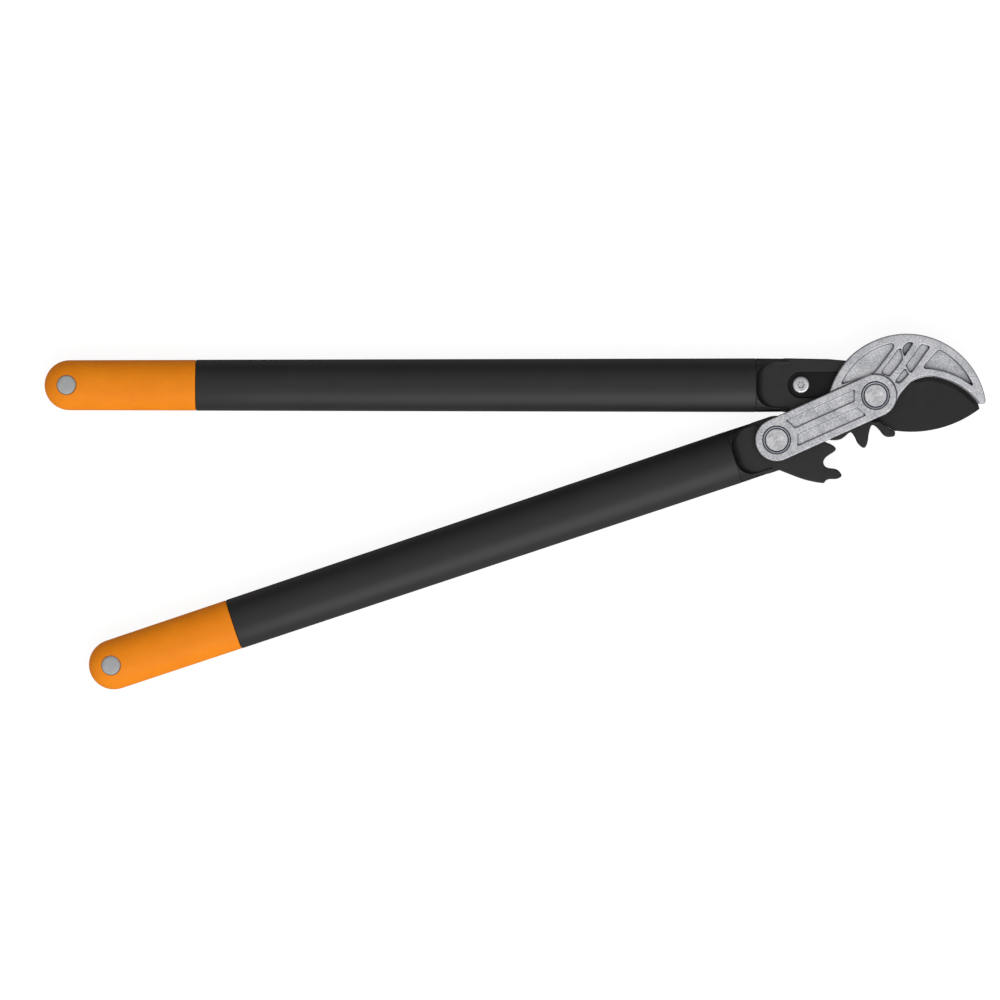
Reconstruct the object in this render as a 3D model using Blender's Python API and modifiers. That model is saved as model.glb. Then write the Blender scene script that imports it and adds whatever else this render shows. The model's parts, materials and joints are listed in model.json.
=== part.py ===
"""Geared anvil lopper, lying flat with its jaw closed.

Two oval handles turn on one cast anvil. The upper handle carries the blade and
turns on the blade pivot. The lower handle turns on the gear pivot, and its
teeth drive the teeth of the upper one, so both handles open together.

Plan frame: the blade pivot is the origin, +X points along the upper handle to
the jaw, +Y points up in the plan, and Z = 0 is the middle plane of the tool.
"""

import math

import bmesh
import bpy
import numpy as np
from mathutils import Matrix, Vector

MM = 0.001

# Fits between pieces
SEAT_GAP = 0.3 * MM
TOOTH_GAP = 0.4 * MM
BORE_GAP = 0.3 * MM

# Pivots and motion
PIVOT_DISTANCE = 79.3 * MM
MESH_LINE_ANGLE = 24.2
LOWER_OPENING = 48.0
GEAR_RATIO = 1.15
UPPER_OPENING = LOWER_OPENING * GEAR_RATIO
HANDLE_SPREAD = 18.5

# Oval handles
UPPER_REACH = 608.7 * MM
LOWER_REACH = 531.0 * MM
UPPER_SHOULDER = 87.7 * MM
LOWER_SHOULDER = 34.0 * MM
LOWER_AXIS_RISE = -2.0 * MM
LOWER_HUB_RADIUS = 17.8 * MM
HANDLE_GAP = 2.7 * MM
HEAD_HALF_WIDTH = 19.7 * MM
END_HALF_WIDTH = 18.4 * MM
HANDLE_HALF_THICK = 13.3 * MM
TUBE_WALL = 2.3 * MM
OVAL_POWER = 2.2
OVAL_SIDES = 28

# Grips and hanging-hole plugs
GRIP_LENGTH = 111.0 * MM
GRIP_WALL = 2.4 * MM
PLUG_FROM_END = 16.9 * MM
PLUG_RADIUS = 7.0 * MM
PLUG_SUNK = 0.4 * MM
PLUG_EDGE = 0.5 * MM
CORE_STOP = 3.0 * MM

# Geared head mouldings
HEAD_HALF_THICK = 6.0 * MM
RECESS_DEPTH = 1.0 * MM
HEAD_CHAMFER = 0.5 * MM
TANG_LENGTH = 52.0 * MM
SCOOP_RADIUS = 7.6 * MM
SCOOP_LIP = 0.4 * MM
SCOOP_HEADROOM = 4.0 * MM
SCOOP_STRIP = 2.1 * MM
SCOOP_SIDE = 1.6 * MM
SCOOP_CORNER = 13.0 * MM
SCOOP_FLOOR_CORNER = 6.0 * MM
SCOOP_STEPS = 4
COLLAR_LENGTH = 24.0 * MM
COLLAR_STEP = 0.1 * MM
COLLAR_TAPER = 0.2 * MM
HUB_RADIUS = 15.5 * MM
LOWER_HUB_ANGLES = (96.0, 42.0)
LOWER_EDGE_START = 4.5 * MM
RECESS_HUB_RADIUS = 19.0 * MM
RECESS_SCREW_RADIUS = 9.6 * MM
TOP_BREAK_X = -34.0 * MM
TOP_BREAK_DROP = 0.6 * MM
TOP_END_X = -17.0 * MM
TOP_END_DROP = 2.1 * MM
PLATE_INSET = 3.2 * MM
PLATE_START = 2.0 * MM
PLATE_NARROW_END = 12.0 * MM
PLATE_WIDE_START = 21.0 * MM
HUB_LEAD = 4.0
EDGE_LEAD = 16.0 * MM
HEEL_ANGLES = (-78.1, -70.9, -60.7)
HEEL_SHARES = (0.0, 0.365, 1.0)
HEEL_DISC_LAP = 0.6 * MM
HEEL_TOOTH_STEP = 2.0 * MM

# Teeth, as degrees past the mesh line and height over the pitch circle in tooth units
TOOTH_UNIT = PIVOT_DISTANCE / 79.3
LOWER_TEETH = (
    (-26, -17.5), (-16, -10.5), (-7, -6.4), (-2.5, -1.8), (3, 1.0), (7.5, -1.0), (11, -7.0),
    (15.5, -9.9), (21, -10.0), (25, -8.2), (27.4, -4.6), (28.8, -1.9), (30.6, 0.5), (32.8, 1.9),
    (35.4, 1.0), (37.9, -0.8), (41.6, -3.1), (45, -4.3), (49.2, -4.3), (52.1, -2.5), (52.6, 0.2),
    (51.4, 3.0), (50.2, 5.8), (50.3, 8.3), (51.6, 11.0), (53, 12.3), (55.2, 11.6), (57.2, 10.1),
    (59.5, 7.1), (61.5, 5.3), (64, 4.5), (66.2, 4.7),
)
LOWER_BACK = ((68.3, 2.7), (71.2, -0.3), (77.2, -5.7), (84.5, -11.2), (94.3, -16.3))
UPPER_TEETH = (
    (-12, 1.6), (-9, 1.6), (-5, 1.7), (-1, 1.7), (3, 1.7), (7, 1.7), (11, 1.8), (16, 7.0), (20, 9.0),
    (24, 7.0), (27.5, 4.0), (29.3, 0.8), (30.7, -3.0), (32.6, -4.9), (36.4, -4.7), (42.6, -2.3),
    (45, -0.6), (49.5, 1.2), (53.3, 2.2), (55.2, 1.7), (56.4, -0.6), (56.9, -3.3), (56.6, -7.6),
    (57.2, -12.1), (59, -14.7), (62.7, -15.4), (68.4, -14.3), (74.6, -11.1), (78, -7.8),
    (81.4, -5.8), (85, -4.8), (90.7, -3.9), (93.4, -4.9),
)
TOOTH_STEPS = 6
TOOTH_TOLERANCE = 0.05 * MM

# Blade
BLADE_HALF_THICK = 2.0 * MM
BLADE_SLOT_GAP = 0.25 * MM
BLADE_DISC_RADIUS = 19.9 * MM
BLADE_BACK_CENTRE = (26.9 * MM, 56.0 * MM)
BLADE_BACK_RADIUS = 82.5 * MM
BLADE_TIP_CUT = 3.0 * MM
BLADE_TIP_LEAN = 0.3 * MM
TANG_HALF_WIDTH = 9.0 * MM
GRIND_WIDTH = 3.5 * MM
GRIND_FADE_STEPS = 4
GRIND_CLEAR = 0.5 * MM
EDGE_SHARE = 0.12

# Tang screw
SCREW_FROM_PIVOT = 54.3 * MM
SCREW_OFF_AXIS = 0.2 * MM
SCREW_HEAD_RADIUS = 6.2 * MM
SCREW_HEAD_HEIGHT = 2.9 * MM
SCREW_RADIUS = 2.4 * MM
NUT_SLEEVE_RADIUS = 3.5 * MM
NUT_HEAD_HEIGHT = 2.2 * MM
SCREW_DOME = ((0.5, 0.05), (0.8, 0.5), (0.97, 1.3))
SCREW_SKIRT = 0.6 * MM
SCREW_SEAT_SHARE = 0.97
SOCKET_RADIUS = 2.2 * MM
SOCKET_LOBE = 0.35 * MM
SOCKET_DEPTH = 1.4 * MM
SLEEVE_END_GAP = 0.5 * MM
SCREW_END_COVER = 0.6 * MM
NUT_CHAMFER = 0.8 * MM
NUT_FACE_SHARE = 0.85

# Anvil casting
ANVIL_CENTRE = (23.0 * MM, -13.4 * MM)
ANVIL_RADIUS = 58.7 * MM
ANVIL_HUB_RADIUS = 15.8 * MM
CHEEK_THICK = 2.3 * MM
WEB_STEP = 2.0 * MM
FACE_CENTRE = (35.0 * MM, -37.1 * MM)
FACE_RADIUS = 51.8 * MM
THROAT_CENTRE = (40.2 * MM, -11.1 * MM)
THROAT_RADIUS = 25.4 * MM
TIP_ANGLE = 10.0
TAIL_ANGLE = 170.0
ANVIL_HUB_END = -112.0
SWEEP_END_ANGLE = 240.0
OUTER_RIM = 5.8 * MM
INNER_RIM = 5.1 * MM
RIM_ROUND = 1.2 * MM
POCKET_ROUND = 0.8 * MM
ANVIL_CHAMFER = 0.6 * MM
CHEEK_POCKET_DEPTH = 2.5 * MM
WEB_POCKET_DEPTH = 4.6 * MM
SLOT_DISC_GAP = 0.6 * MM
SWEEP_MARGIN = 3.0
FACE_TIP_X = 76.2 * MM
FACE_END_ANGLE = 80.0
THROAT_START_ANGLE = 84.0
THROAT_END_ANGLE = 123.0
HUB_HOLLOW = ((22.3 * MM, 5.8 * MM), (18.6 * MM, 1.4 * MM), (16.3 * MM, -2.6 * MM))
HOLLOW_END_ANGLE = -28.0
ANVIL_NOSE = (80.2 * MM, -5.9 * MM)

# Anvil pockets, as corners in millimetres from the blade pivot
TAIL_POCKET = ((14.2, 36.0), (-0.3, 16.8), (-10.4, 13.0), (-17.4, 10.2))
TAIL_POCKET_ANGLES = (156.0, 101.0)
CHANNEL_POCKET = (
    (4.7, 15.8), (4.7, 18.1), (12.8, 28.4), (16.4, 33.5), (18.6, 34.6), (20.2, 27.0), (15.7, 20.3),
    (10.2, 13.9),
)
MOON_POCKET = ((21.3, 28.6), (19.9, 32.8), (21.1, 36.4), (24.0, 38.8), (28.0, 38.9))
UPPER_BAR_POCKET = ((22.3, 22.1), (33.8, 37.6), (40.0, 35.8), (26.3, 16.6), (24.1, 18.5))
LOWER_BAR_POCKET = ((14.4, 10.2), (21.6, 20.0), (24.5, 15.6), (19.2, 10.2), (16.9, 8.8))
BITE_POCKET_HEEL = (36.2, 22.5)
BITE_POCKET_OUTER_ANGLES = (63.5, 22.5)
BITE_POCKET_INNER_ANGLES = (52.0, 90.0)

# Link bars
LINK_RADIUS = 15.6 * MM
LINK_THICK = 3.7 * MM
LINK_POCKET_DEPTH = 1.3 * MM
LINK_RIB_HALF = 2.4 * MM
LINK_POCKET_OUT = 10.3 * MM
LINK_CHAMFER = 0.5 * MM

# Pivot pins, nuts, bushes and washers
PIN_RADIUS = 5.2 * MM
PIN_HEAD_RADIUS = 10.1 * MM
PIN_FACE_RADIUS = 8.1 * MM
PIN_GROOVE = 0.35 * MM
PIN_GROOVE_DEPTH = 0.5 * MM
PIN_RING_DROP = 0.15 * MM
PIN_EDGE = 0.4 * MM
PIN_PROUD = 0.9 * MM
COUNTERBORE_DEPTH = 1.0 * MM
PIN_THREAD_STEP = 1.6 * MM
NUT_FLOOR = 1.0 * MM
BUSH_WALL = 1.5 * MM
BUSH_FLANGE_RADIUS = 14.0 * MM
WASHER_RADIUS = 13.5 * MM
ROUND_STEPS = 28
HIDDEN_STEPS = 24
OVERSHOOT = 1.0 * MM
WELD_DISTANCE = 0.002 * MM
MERGE_DISTANCE = 0.01 * MM

# Worked out from the sizes above
UPPER_AXIS_RISE = (LOWER_HUB_RADIUS + HANDLE_GAP + HEAD_HALF_WIDTH
                   - PIVOT_DISTANCE * math.sin(math.radians(MESH_LINE_ANGLE)))
SCREW_PLACE = (-SCREW_FROM_PIVOT, UPPER_AXIS_RISE + SCREW_OFF_AXIS)
HEAD_TOP_BREAK = (TOP_BREAK_X, UPPER_AXIS_RISE + HEAD_HALF_WIDTH - TOP_BREAK_DROP)
HEAD_TOP_END = (TOP_END_X, UPPER_AXIS_RISE + HEAD_HALF_WIDTH - TOP_END_DROP)
RECESS_HALF_THICK = HEAD_HALF_THICK - RECESS_DEPTH
PLUG_HALF_LENGTH = HANDLE_HALF_THICK - PLUG_SUNK
CHEEK_HALF_THICK = HEAD_HALF_THICK + SEAT_GAP + CHEEK_THICK
ANVIL_HALF_THICK = CHEEK_HALF_THICK + WEB_STEP
BUSH_SLEEVE_RADIUS = PIN_RADIUS + BORE_GAP + BUSH_WALL
PIN_THREAD_RADIUS = PIN_RADIUS - PIN_THREAD_STEP
LINK_LOW = CHEEK_HALF_THICK + SEAT_GAP
LINK_HIGH = LINK_LOW + LINK_THICK
PITCH_UPPER = PIVOT_DISTANCE / (1 + GEAR_RATIO)
PITCH_LOWER = PIVOT_DISTANCE - PITCH_UPPER
GEAR_PIVOT = (
    -PIVOT_DISTANCE * math.cos(math.radians(MESH_LINE_ANGLE)),
    -PIVOT_DISTANCE * math.sin(math.radians(MESH_LINE_ANGLE)),
)

MODEL_NAME = "anvil_lopper"
CUTTER_NAME = "cutters"


# Scene and materials

def clear_scene():
    """Remove every object and leave two empty collections."""
    for obj in list(bpy.data.objects):
        bpy.data.objects.remove(obj, do_unlink=True)
    for name in (MODEL_NAME, CUTTER_NAME):
        group = bpy.data.collections.get(name) or bpy.data.collections.new(name)
        if name not in bpy.context.scene.collection.children:
            bpy.context.scene.collection.children.link(group)


def material(name, colour, roughness, metallic=0.0):
    """A plain Principled material."""
    mat = bpy.data.materials.new(name)
    mat.use_nodes = True
    shader = mat.node_tree.nodes["Principled BSDF"]
    shader.inputs["Base Color"].default_value = (*colour, 1.0)
    shader.inputs["Roughness"].default_value = roughness
    shader.inputs["Metallic"].default_value = metallic
    mat.diffuse_color = (*colour, 1.0)
    return mat


FINISHES = {
    "black_nylon": ((0.025, 0.026, 0.028), 0.42, 0.0),
    "orange_grip": ((0.83, 0.21, 0.015), 0.45, 0.0),
    "grey_plug": ((0.32, 0.35, 0.38), 0.5, 0.0),
    "coated_blade": ((0.033, 0.033, 0.033), 0.5, 0.3),
    "cast_alloy": ((0.55, 0.56, 0.58), 0.42, 0.9),
    "turned_steel": ((0.62, 0.63, 0.66), 0.25, 1.0),
    "bush_polymer": ((0.72, 0.72, 0.68), 0.5, 0.0),
}


def empty(name, parent=None, place=(0, 0, 0), turn=0.0):
    """A named frame that carries pieces."""
    obj = bpy.data.objects.new(name, None)
    obj.empty_display_size = 0.01
    obj.location = place
    obj.rotation_euler.z = math.radians(turn)
    obj.parent = parent
    bpy.data.collections[MODEL_NAME].objects.link(obj)
    return obj


# Plan geometry

def in_mm(points):
    """Points given in millimetres, as metres."""
    return [(x * MM, y * MM) for x, y in points]


def polar(centre, radius, degrees):
    """The point at a radius and an angle from a centre."""
    angle = math.radians(degrees)
    return (centre[0] + radius * math.cos(angle), centre[1] + radius * math.sin(angle))


def arc(centre, radius, start, end, steps):
    """Points along an arc, both ends included."""
    return [polar(centre, radius, start + (end - start) * i / steps) for i in range(steps + 1)]


def smooth(points, steps):
    """A smooth curve through the points, ends included."""
    knots = [Vector(p) for p in points]
    knots = [2 * knots[0] - knots[1]] + knots + [2 * knots[-1] - knots[-2]]
    curve = []
    for a, b, c, d in zip(knots, knots[1:], knots[2:], knots[3:]):
        for i in range(steps):
            t = i / steps
            curve.append(0.5 * (2 * b + (c - a) * t + (2 * a - 5 * b + 4 * c - d) * t * t
                                + (3 * b - a - 3 * c + d) * t ** 3))
    curve.append(knots[-2])
    return [tuple(p) for p in curve]


def simplified(points, tolerance):
    """The same open line without the points that it hardly needs."""
    if len(points) < 3:
        return points
    start, end = Vector(points[0]), Vector(points[-1])
    along = (end - start).normalized()
    distances = [abs((Vector(p) - start).cross(along)) for p in points[1:-1]]
    worst = max(range(len(distances)), key=distances.__getitem__)
    if distances[worst] <= tolerance:
        return [points[0], points[-1]]
    split = worst + 1
    return simplified(points[:split + 1], tolerance)[:-1] + simplified(points[split:], tolerance)


def rounded(points, radius, steps=3):
    """The same outline with each corner turned into a small arc."""
    outline = []
    for i, corner in enumerate(points):
        corner = Vector(corner)
        before = Vector(points[i - 1]) - corner
        after = Vector(points[(i + 1) % len(points)]) - corner
        reach = min(radius, 0.45 * before.length, 0.45 * after.length)
        start = corner + before.normalized() * reach
        end = corner + after.normalized() * reach
        for k in range(steps + 1):
            t = k / steps
            point = start * (1 - t) ** 2 + corner * 2 * t * (1 - t) + end * t ** 2
            outline.append(tuple(point))
    return outline


def stadium(first, second, radius, steps=16):
    """A bar with round ends about two points."""
    line = Vector(second) - Vector(first)
    angle = math.degrees(math.atan2(line.y, line.x))
    return (arc(second, radius, angle - 90, angle + 90, steps)
            + arc(first, radius, angle + 90, angle + 270, steps))


# Solids

def add_object(name, mesh, parent):
    """A mesh object in the model, in its parent's frame."""
    obj = bpy.data.objects.new(name, mesh)
    obj.parent = parent
    bpy.data.collections[MODEL_NAME].objects.link(obj)
    return obj


def solid_from(source, name, parent):
    """The evaluated source as a welded mesh object. The source is removed."""
    bpy.context.view_layer.update()
    evaluated = source.evaluated_get(bpy.context.evaluated_depsgraph_get())
    mesh = bpy.data.meshes.new_from_object(evaluated)
    mesh.transform(source.matrix_world)
    bm = bmesh.new()
    bm.from_mesh(mesh)
    bmesh.ops.remove_doubles(bm, verts=bm.verts, dist=WELD_DISTANCE)
    bmesh.ops.recalc_face_normals(bm, faces=bm.faces)
    bm.to_mesh(mesh)
    bm.free()
    mesh.name = name
    bpy.data.objects.remove(source, do_unlink=True)
    return add_object(name, mesh, parent)


def plate(name, outline, low, high, parent, chamfer=0.0):
    """A flat outline filled and extruded between two heights."""
    curve = bpy.data.curves.new(name, "CURVE")
    curve.dimensions = "2D"
    curve.fill_mode = "BOTH"
    curve.extrude = (high - low) / 2 - chamfer
    curve.bevel_depth = chamfer
    curve.bevel_resolution = 0
    curve.offset = -chamfer
    spline = curve.splines.new("POLY")
    spline.points.add(len(outline) - 1)
    for point, (x, y) in zip(spline.points, outline):
        point.co = (x, y, 0, 1)
    spline.use_cyclic_u = True
    source = bpy.data.objects.new(name, curve)
    source.location.z = (low + high) / 2
    bpy.context.scene.collection.objects.link(source)
    return solid_from(source, name, parent)


def turned(name, profile, parent, place=(0, 0), steps=ROUND_STEPS):
    """A profile of (radius, height) points turned about a vertical axis."""
    mesh = bpy.data.meshes.new(name)
    closed = profile[0][0] > 0
    count = len(profile)
    edges = [(i, (i + 1) % count) for i in range(count if closed else count - 1)]
    mesh.from_pydata([(r, 0, z) for r, z in profile], edges, [])
    source = bpy.data.objects.new(name, mesh)
    bpy.context.scene.collection.objects.link(source)
    screw = source.modifiers.new("turn", "SCREW")
    screw.steps = steps
    screw.render_steps = steps
    screw.use_merge_vertices = True
    screw.merge_threshold = MERGE_DISTANCE
    source.location = (place[0], place[1], 0)
    return solid_from(source, name, parent)


def loft(name, rings, parent):
    """A closed skin over rings with the same number of points."""
    bm = bmesh.new()
    loops = [[bm.verts.new(point) for point in ring] for ring in rings]
    for near, far in zip(loops, loops[1:]):
        for i in range(len(near)):
            j = (i + 1) % len(near)
            bm.faces.new((near[i], near[j], far[j], far[i]))
    bm.faces.new(reversed(loops[0]))
    bm.faces.new(loops[-1])
    bmesh.ops.recalc_face_normals(bm, faces=bm.faces)
    mesh = bpy.data.meshes.new(name)
    bm.to_mesh(mesh)
    bm.free()
    return add_object(name, mesh, parent)


def use_tool(target, tool, operation):
    """Keep a tool solid out of the model and apply it to the target as a Boolean."""
    for group in list(tool.users_collection):
        group.objects.unlink(tool)
    bpy.data.collections[CUTTER_NAME].objects.link(tool)
    tool.hide_render = True
    tool.display_type = "WIRE"
    step = target.modifiers.new(tool.name, "BOOLEAN")
    step.operation = operation
    step.solver = "EXACT"
    step.object = tool


def cut(target, tool):
    """Take a tool solid out of the target."""
    use_tool(target, tool, "DIFFERENCE")


def fuse(target, tool):
    """Add a tool solid to the target."""
    use_tool(target, tool, "UNION")


def finish(obj, finish_name):
    """Give a piece its own material and smooth its round faces."""
    mat = material(obj.name + "_" + finish_name, *FINISHES[finish_name])
    obj.data.materials.clear()
    obj.data.materials.append(mat)
    obj.data.shade_smooth()
    obj.data.set_sharp_from_angle(angle=math.radians(35))
    return obj


# Oval handles

def oval_ring(x, centre_y, half_width, half_thick):
    """One oval section of a handle, square to its axis."""
    ring = []
    for i in range(OVAL_SIDES):
        angle = 2 * math.pi * i / OVAL_SIDES
        c, s = math.cos(angle), math.sin(angle)
        y = half_width * math.copysign(abs(c) ** (2 / OVAL_POWER), c)
        z = half_thick * math.copysign(abs(s) ** (2 / OVAL_POWER), s)
        ring.append((x, centre_y + y, z))
    return ring


class Handle:
    """The sizes of one oval handle in the frame of its own pivot."""

    def __init__(self, side, reach, shoulder, rise):
        self.side = side
        self.end = -reach
        self.shoulder = -shoulder
        self.rise = rise
        self.grip_line = self.end + GRIP_LENGTH
        self.plug_x = self.end + PLUG_FROM_END
        self.core_end = self.plug_x + PLUG_RADIUS + BORE_GAP + CORE_STOP

    def half_width(self, x):
        """Half the width at a place along the handle, which widens to the head."""
        share = (x - self.end) / (self.shoulder - self.end)
        return END_HALF_WIDTH + (HEAD_HALF_WIDTH - END_HALF_WIDTH) * min(max(share, 0), 1)

    def section(self, x, inset=0.0):
        """An oval section at x, drawn in by an inset all round."""
        return oval_ring(x, self.rise, self.half_width(x) - inset, HANDLE_HALF_THICK - inset)


def handle_tube(handle, parent):
    """The hollow shaft: full size to the grip, then a thinner core inside it."""
    core_inset = GRIP_WALL + SEAT_GAP
    seam = handle.grip_line + SEAT_GAP
    rings = [
        handle.section(handle.core_end, core_inset),
        handle.section(seam, core_inset),
        handle.section(seam),
        handle.section(handle.shoulder),
    ]
    tube = loft(handle.side + "_handle_tube", rings, parent)
    past = TUBE_WALL
    bore = [
        handle.section(handle.core_end - past, core_inset + TUBE_WALL),
        handle.section(seam + past, core_inset + TUBE_WALL),
        handle.section(seam + 2 * past, TUBE_WALL),
        handle.section(handle.shoulder + past, TUBE_WALL),
    ]
    cut(tube, loft(handle.side + "_tube_bore", bore, parent))
    return finish(tube, "black_nylon")


def handle_grip(handle, parent):
    """The orange grip: a cup over the core, with a round closed end."""
    dome = []
    dome_steps = 7
    radius = handle.half_width(handle.end)
    for i in range(dome_steps):
        angle = math.radians(8 + 82 * i / dome_steps)
        x = handle.end + radius * (1 - math.cos(angle))
        dome.append(oval_ring(x, handle.rise, radius * math.sin(angle),
                              HANDLE_HALF_THICK * math.sin(angle) ** 0.8))
    dome[0] = oval_ring(handle.end, handle.rise, radius * 0.14, HANDLE_HALF_THICK * 0.2)
    rings = dome + [handle.section(handle.end + radius), handle.section(handle.grip_line)]
    grip = loft(handle.side + "_grip", rings, parent)
    pocket = [
        handle.section(handle.core_end - SEAT_GAP, GRIP_WALL),
        handle.section(handle.grip_line + GRIP_WALL, GRIP_WALL),
    ]
    cut(grip, loft(handle.side + "_grip_pocket", pocket, parent))
    hole = turned(handle.side + "_plug_hole",
                  [(0, 2 * HANDLE_HALF_THICK), (PLUG_RADIUS + BORE_GAP, 2 * HANDLE_HALF_THICK),
                   (PLUG_RADIUS + BORE_GAP, -2 * HANDLE_HALF_THICK), (0, -2 * HANDLE_HALF_THICK)],
                  parent, (handle.plug_x, handle.rise))
    cut(grip, hole)
    return finish(grip, "orange_grip")


def grip_plug(handle, parent):
    """The grey plug that fills the hanging hole, flush on both sides."""
    profile = [
        (0, PLUG_HALF_LENGTH), (PLUG_RADIUS - PLUG_EDGE, PLUG_HALF_LENGTH),
        (PLUG_RADIUS, PLUG_HALF_LENGTH - PLUG_EDGE), (PLUG_RADIUS, PLUG_EDGE - PLUG_HALF_LENGTH),
        (PLUG_RADIUS - PLUG_EDGE, -PLUG_HALF_LENGTH), (0, -PLUG_HALF_LENGTH),
    ]
    plug = turned(handle.side + "_grip_plug", profile, parent, (handle.plug_x, handle.rise))
    return finish(plug, "grey_plug")


def head_collar(handle, parent):
    """The oval root of a head: a tang inside the tube and a collar outside it."""
    tang_inset = TUBE_WALL + BORE_GAP
    face = handle.shoulder + SEAT_GAP
    rings = [
        handle.section(face - TANG_LENGTH, tang_inset + HEAD_CHAMFER),
        handle.section(face - TANG_LENGTH + 2 * HEAD_CHAMFER, tang_inset),
        handle.section(face, tang_inset),
        handle.section(face),
        handle.section(face + COLLAR_LENGTH, COLLAR_TAPER),
    ]
    collar = loft(handle.side + "_collar", rings, parent)
    for sign in (1, -1):
        cut(collar, collar_scoop(handle, sign, parent))
    return collar


def scoop_ring(handle, share, height):
    """The scoop's outline at a height: a U open to the jaw, from its floor (0) to its mouth (1)."""
    start = handle.shoulder + SEAT_GAP + SCOOP_LIP + SCOOP_RADIUS * (1 - share)
    half = HEAD_HALF_WIDTH - SCOOP_STRIP - SCOOP_SIDE * (1 - share)
    corner = SCOOP_FLOOR_CORNER + (SCOOP_CORNER - SCOOP_FLOOR_CORNER) * share
    far = handle.shoulder + 2 * COLLAR_LENGTH
    upper = arc((start + corner, handle.rise + half - corner), corner, 90, 180, SCOOP_STEPS)
    lower = arc((start + corner, handle.rise - half + corner), corner, 180, 270, SCOOP_STEPS)
    outline = [(far, handle.rise + half)] + upper + lower + [(far, handle.rise - half)]
    return [(x, y, height) for x, y in outline]


def collar_scoop(handle, side_sign, parent):
    """The dished ramp that brings the oval collar down to the flat of the head."""
    floor = HEAD_HALF_THICK - COLLAR_STEP
    rings = []
    for i in range(SCOOP_STEPS + 1):
        angle = math.pi / 2 * i / SCOOP_STEPS
        height = floor + SCOOP_RADIUS * (1 - math.cos(angle))
        rings.append(scoop_ring(handle, math.sin(angle), side_sign * height))
    rings.append(scoop_ring(handle, 1, side_sign * (floor + SCOOP_RADIUS + SCOOP_HEADROOM)))
    name = handle.side + ("_scoop_front" if side_sign > 0 else "_scoop_rear")
    return loft(name, rings, parent)


# Gear teeth

def lower_tooth_points():
    """The lower gear's edge about its own pivot, in the plan frame at rest."""
    knots = [(-angle + MESH_LINE_ANGLE, PITCH_LOWER + height * TOOTH_UNIT)
             for angle, height in LOWER_TEETH + LOWER_BACK]
    curve = smooth([polar((0, 0), radius, angle) for angle, radius in knots], TOOTH_STEPS)
    return simplified(curve, TOOTH_TOLERANCE)


def swept_radii(angles):
    """How near the lower teeth come to the blade pivot, seen from the turning upper head.

    The result holds one radius for each angle past the mesh line.
    """
    corners = np.array(lower_tooth_points())
    shares = np.linspace(0, 1, 9)[:, None]
    outline = np.concatenate([a + (b - a) * shares for a, b in zip(corners, corners[1:])])
    step = angles[1] - angles[0]
    nearest = np.full(len(angles), PIVOT_DISTANCE)
    for share in np.linspace(0, 1, 193):
        lower_turn = math.radians(LOWER_OPENING) * share
        c, s = math.cos(lower_turn), math.sin(lower_turn)
        x = outline[:, 0] * c - outline[:, 1] * s + GEAR_PIVOT[0]
        y = outline[:, 0] * s + outline[:, 1] * c + GEAR_PIVOT[1]
        past = np.degrees(np.arctan2(y, x)) - 180 - MESH_LINE_ANGLE + UPPER_OPENING * share
        past = (past + 180) % 360 - 180
        index = np.rint((past - angles[0]) / step).astype(int)
        inside = (index >= 0) & (index < len(angles))
        np.minimum.at(nearest, index[inside], np.hypot(x, y)[inside])
    widened = nearest.copy()
    for i, radius in enumerate(nearest):
        reach = int(math.ceil(math.degrees(TOOTH_GAP / radius) / step))
        low, high = max(0, i - reach), min(len(angles), i + reach + 1)
        widened[low:high] = np.minimum(widened[low:high], radius - TOOTH_GAP)
    return widened


def upper_tooth_points():
    """The upper gear's edge about the blade pivot: its own teeth, cleared by the lower ones."""
    knots = [(angle, PITCH_UPPER + height * TOOTH_UNIT) for angle, height in UPPER_TEETH]
    curve = smooth([polar((0, 0), radius, 180 + MESH_LINE_ANGLE + angle)
                    for angle, radius in knots], TOOTH_STEPS)
    angles = np.arange(-40, 110, 0.5)
    limits = swept_radii(angles)
    points = []
    for x, y in curve:
        past = math.degrees(math.atan2(y, x)) - 180 - MESH_LINE_ANGLE
        past = (past + 180) % 360 - 180
        limit = float(np.interp(past, angles, limits))
        scale = min(1.0, limit / math.hypot(x, y))
        points.append((x * scale, y * scale))
    return simplified(points, TOOTH_TOLERANCE)


# Shared outlines

def anvil_face(offset=0.0):
    """The closed line of the bite, from the tip to the hub, moved away from the anvil."""
    tip = math.degrees(math.asin((FACE_TIP_X - FACE_CENTRE[0]) / FACE_RADIUS))
    face = arc(FACE_CENTRE, FACE_RADIUS - offset, 90 - tip, FACE_END_ANGLE, 14)
    throat = arc(THROAT_CENTRE, THROAT_RADIUS - offset, THROAT_START_ANGLE, THROAT_END_ANGLE, 8)
    return face + throat


def hub_sweep(offset=0.0):
    """The hollow line from the bite's throat down to the hub of the anvil."""
    shift = 0.8 * offset
    hollow = [(x + shift, y - shift) for x, y in HUB_HOLLOW]
    foot = polar((0, 0), ANVIL_HUB_RADIUS, HOLLOW_END_ANGLE)
    return smooth([anvil_face(offset)[-1]] + hollow + [foot], 3)[1:]


def heel_line(offset=0.0):
    """The line where the head ends beside the blade's heel, moved towards the blade."""
    start = BLADE_DISC_RADIUS - HEEL_DISC_LAP
    end = PITCH_UPPER + UPPER_TEETH[-1][1] * TOOTH_UNIT - HEEL_TOOTH_STEP
    knots = [Vector(polar((0, 0), start + (end - start) * share, angle))
             for share, angle in zip(HEEL_SHARES, HEEL_ANGLES)]
    points = []
    for before, knot, after in zip(knots[:1] + knots, knots, knots[1:] + knots[-1:]):
        ahead = after - before
        points.append(knot + Vector((-ahead.y, ahead.x)).normalized() * offset)
    return smooth(points, 3)


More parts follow.
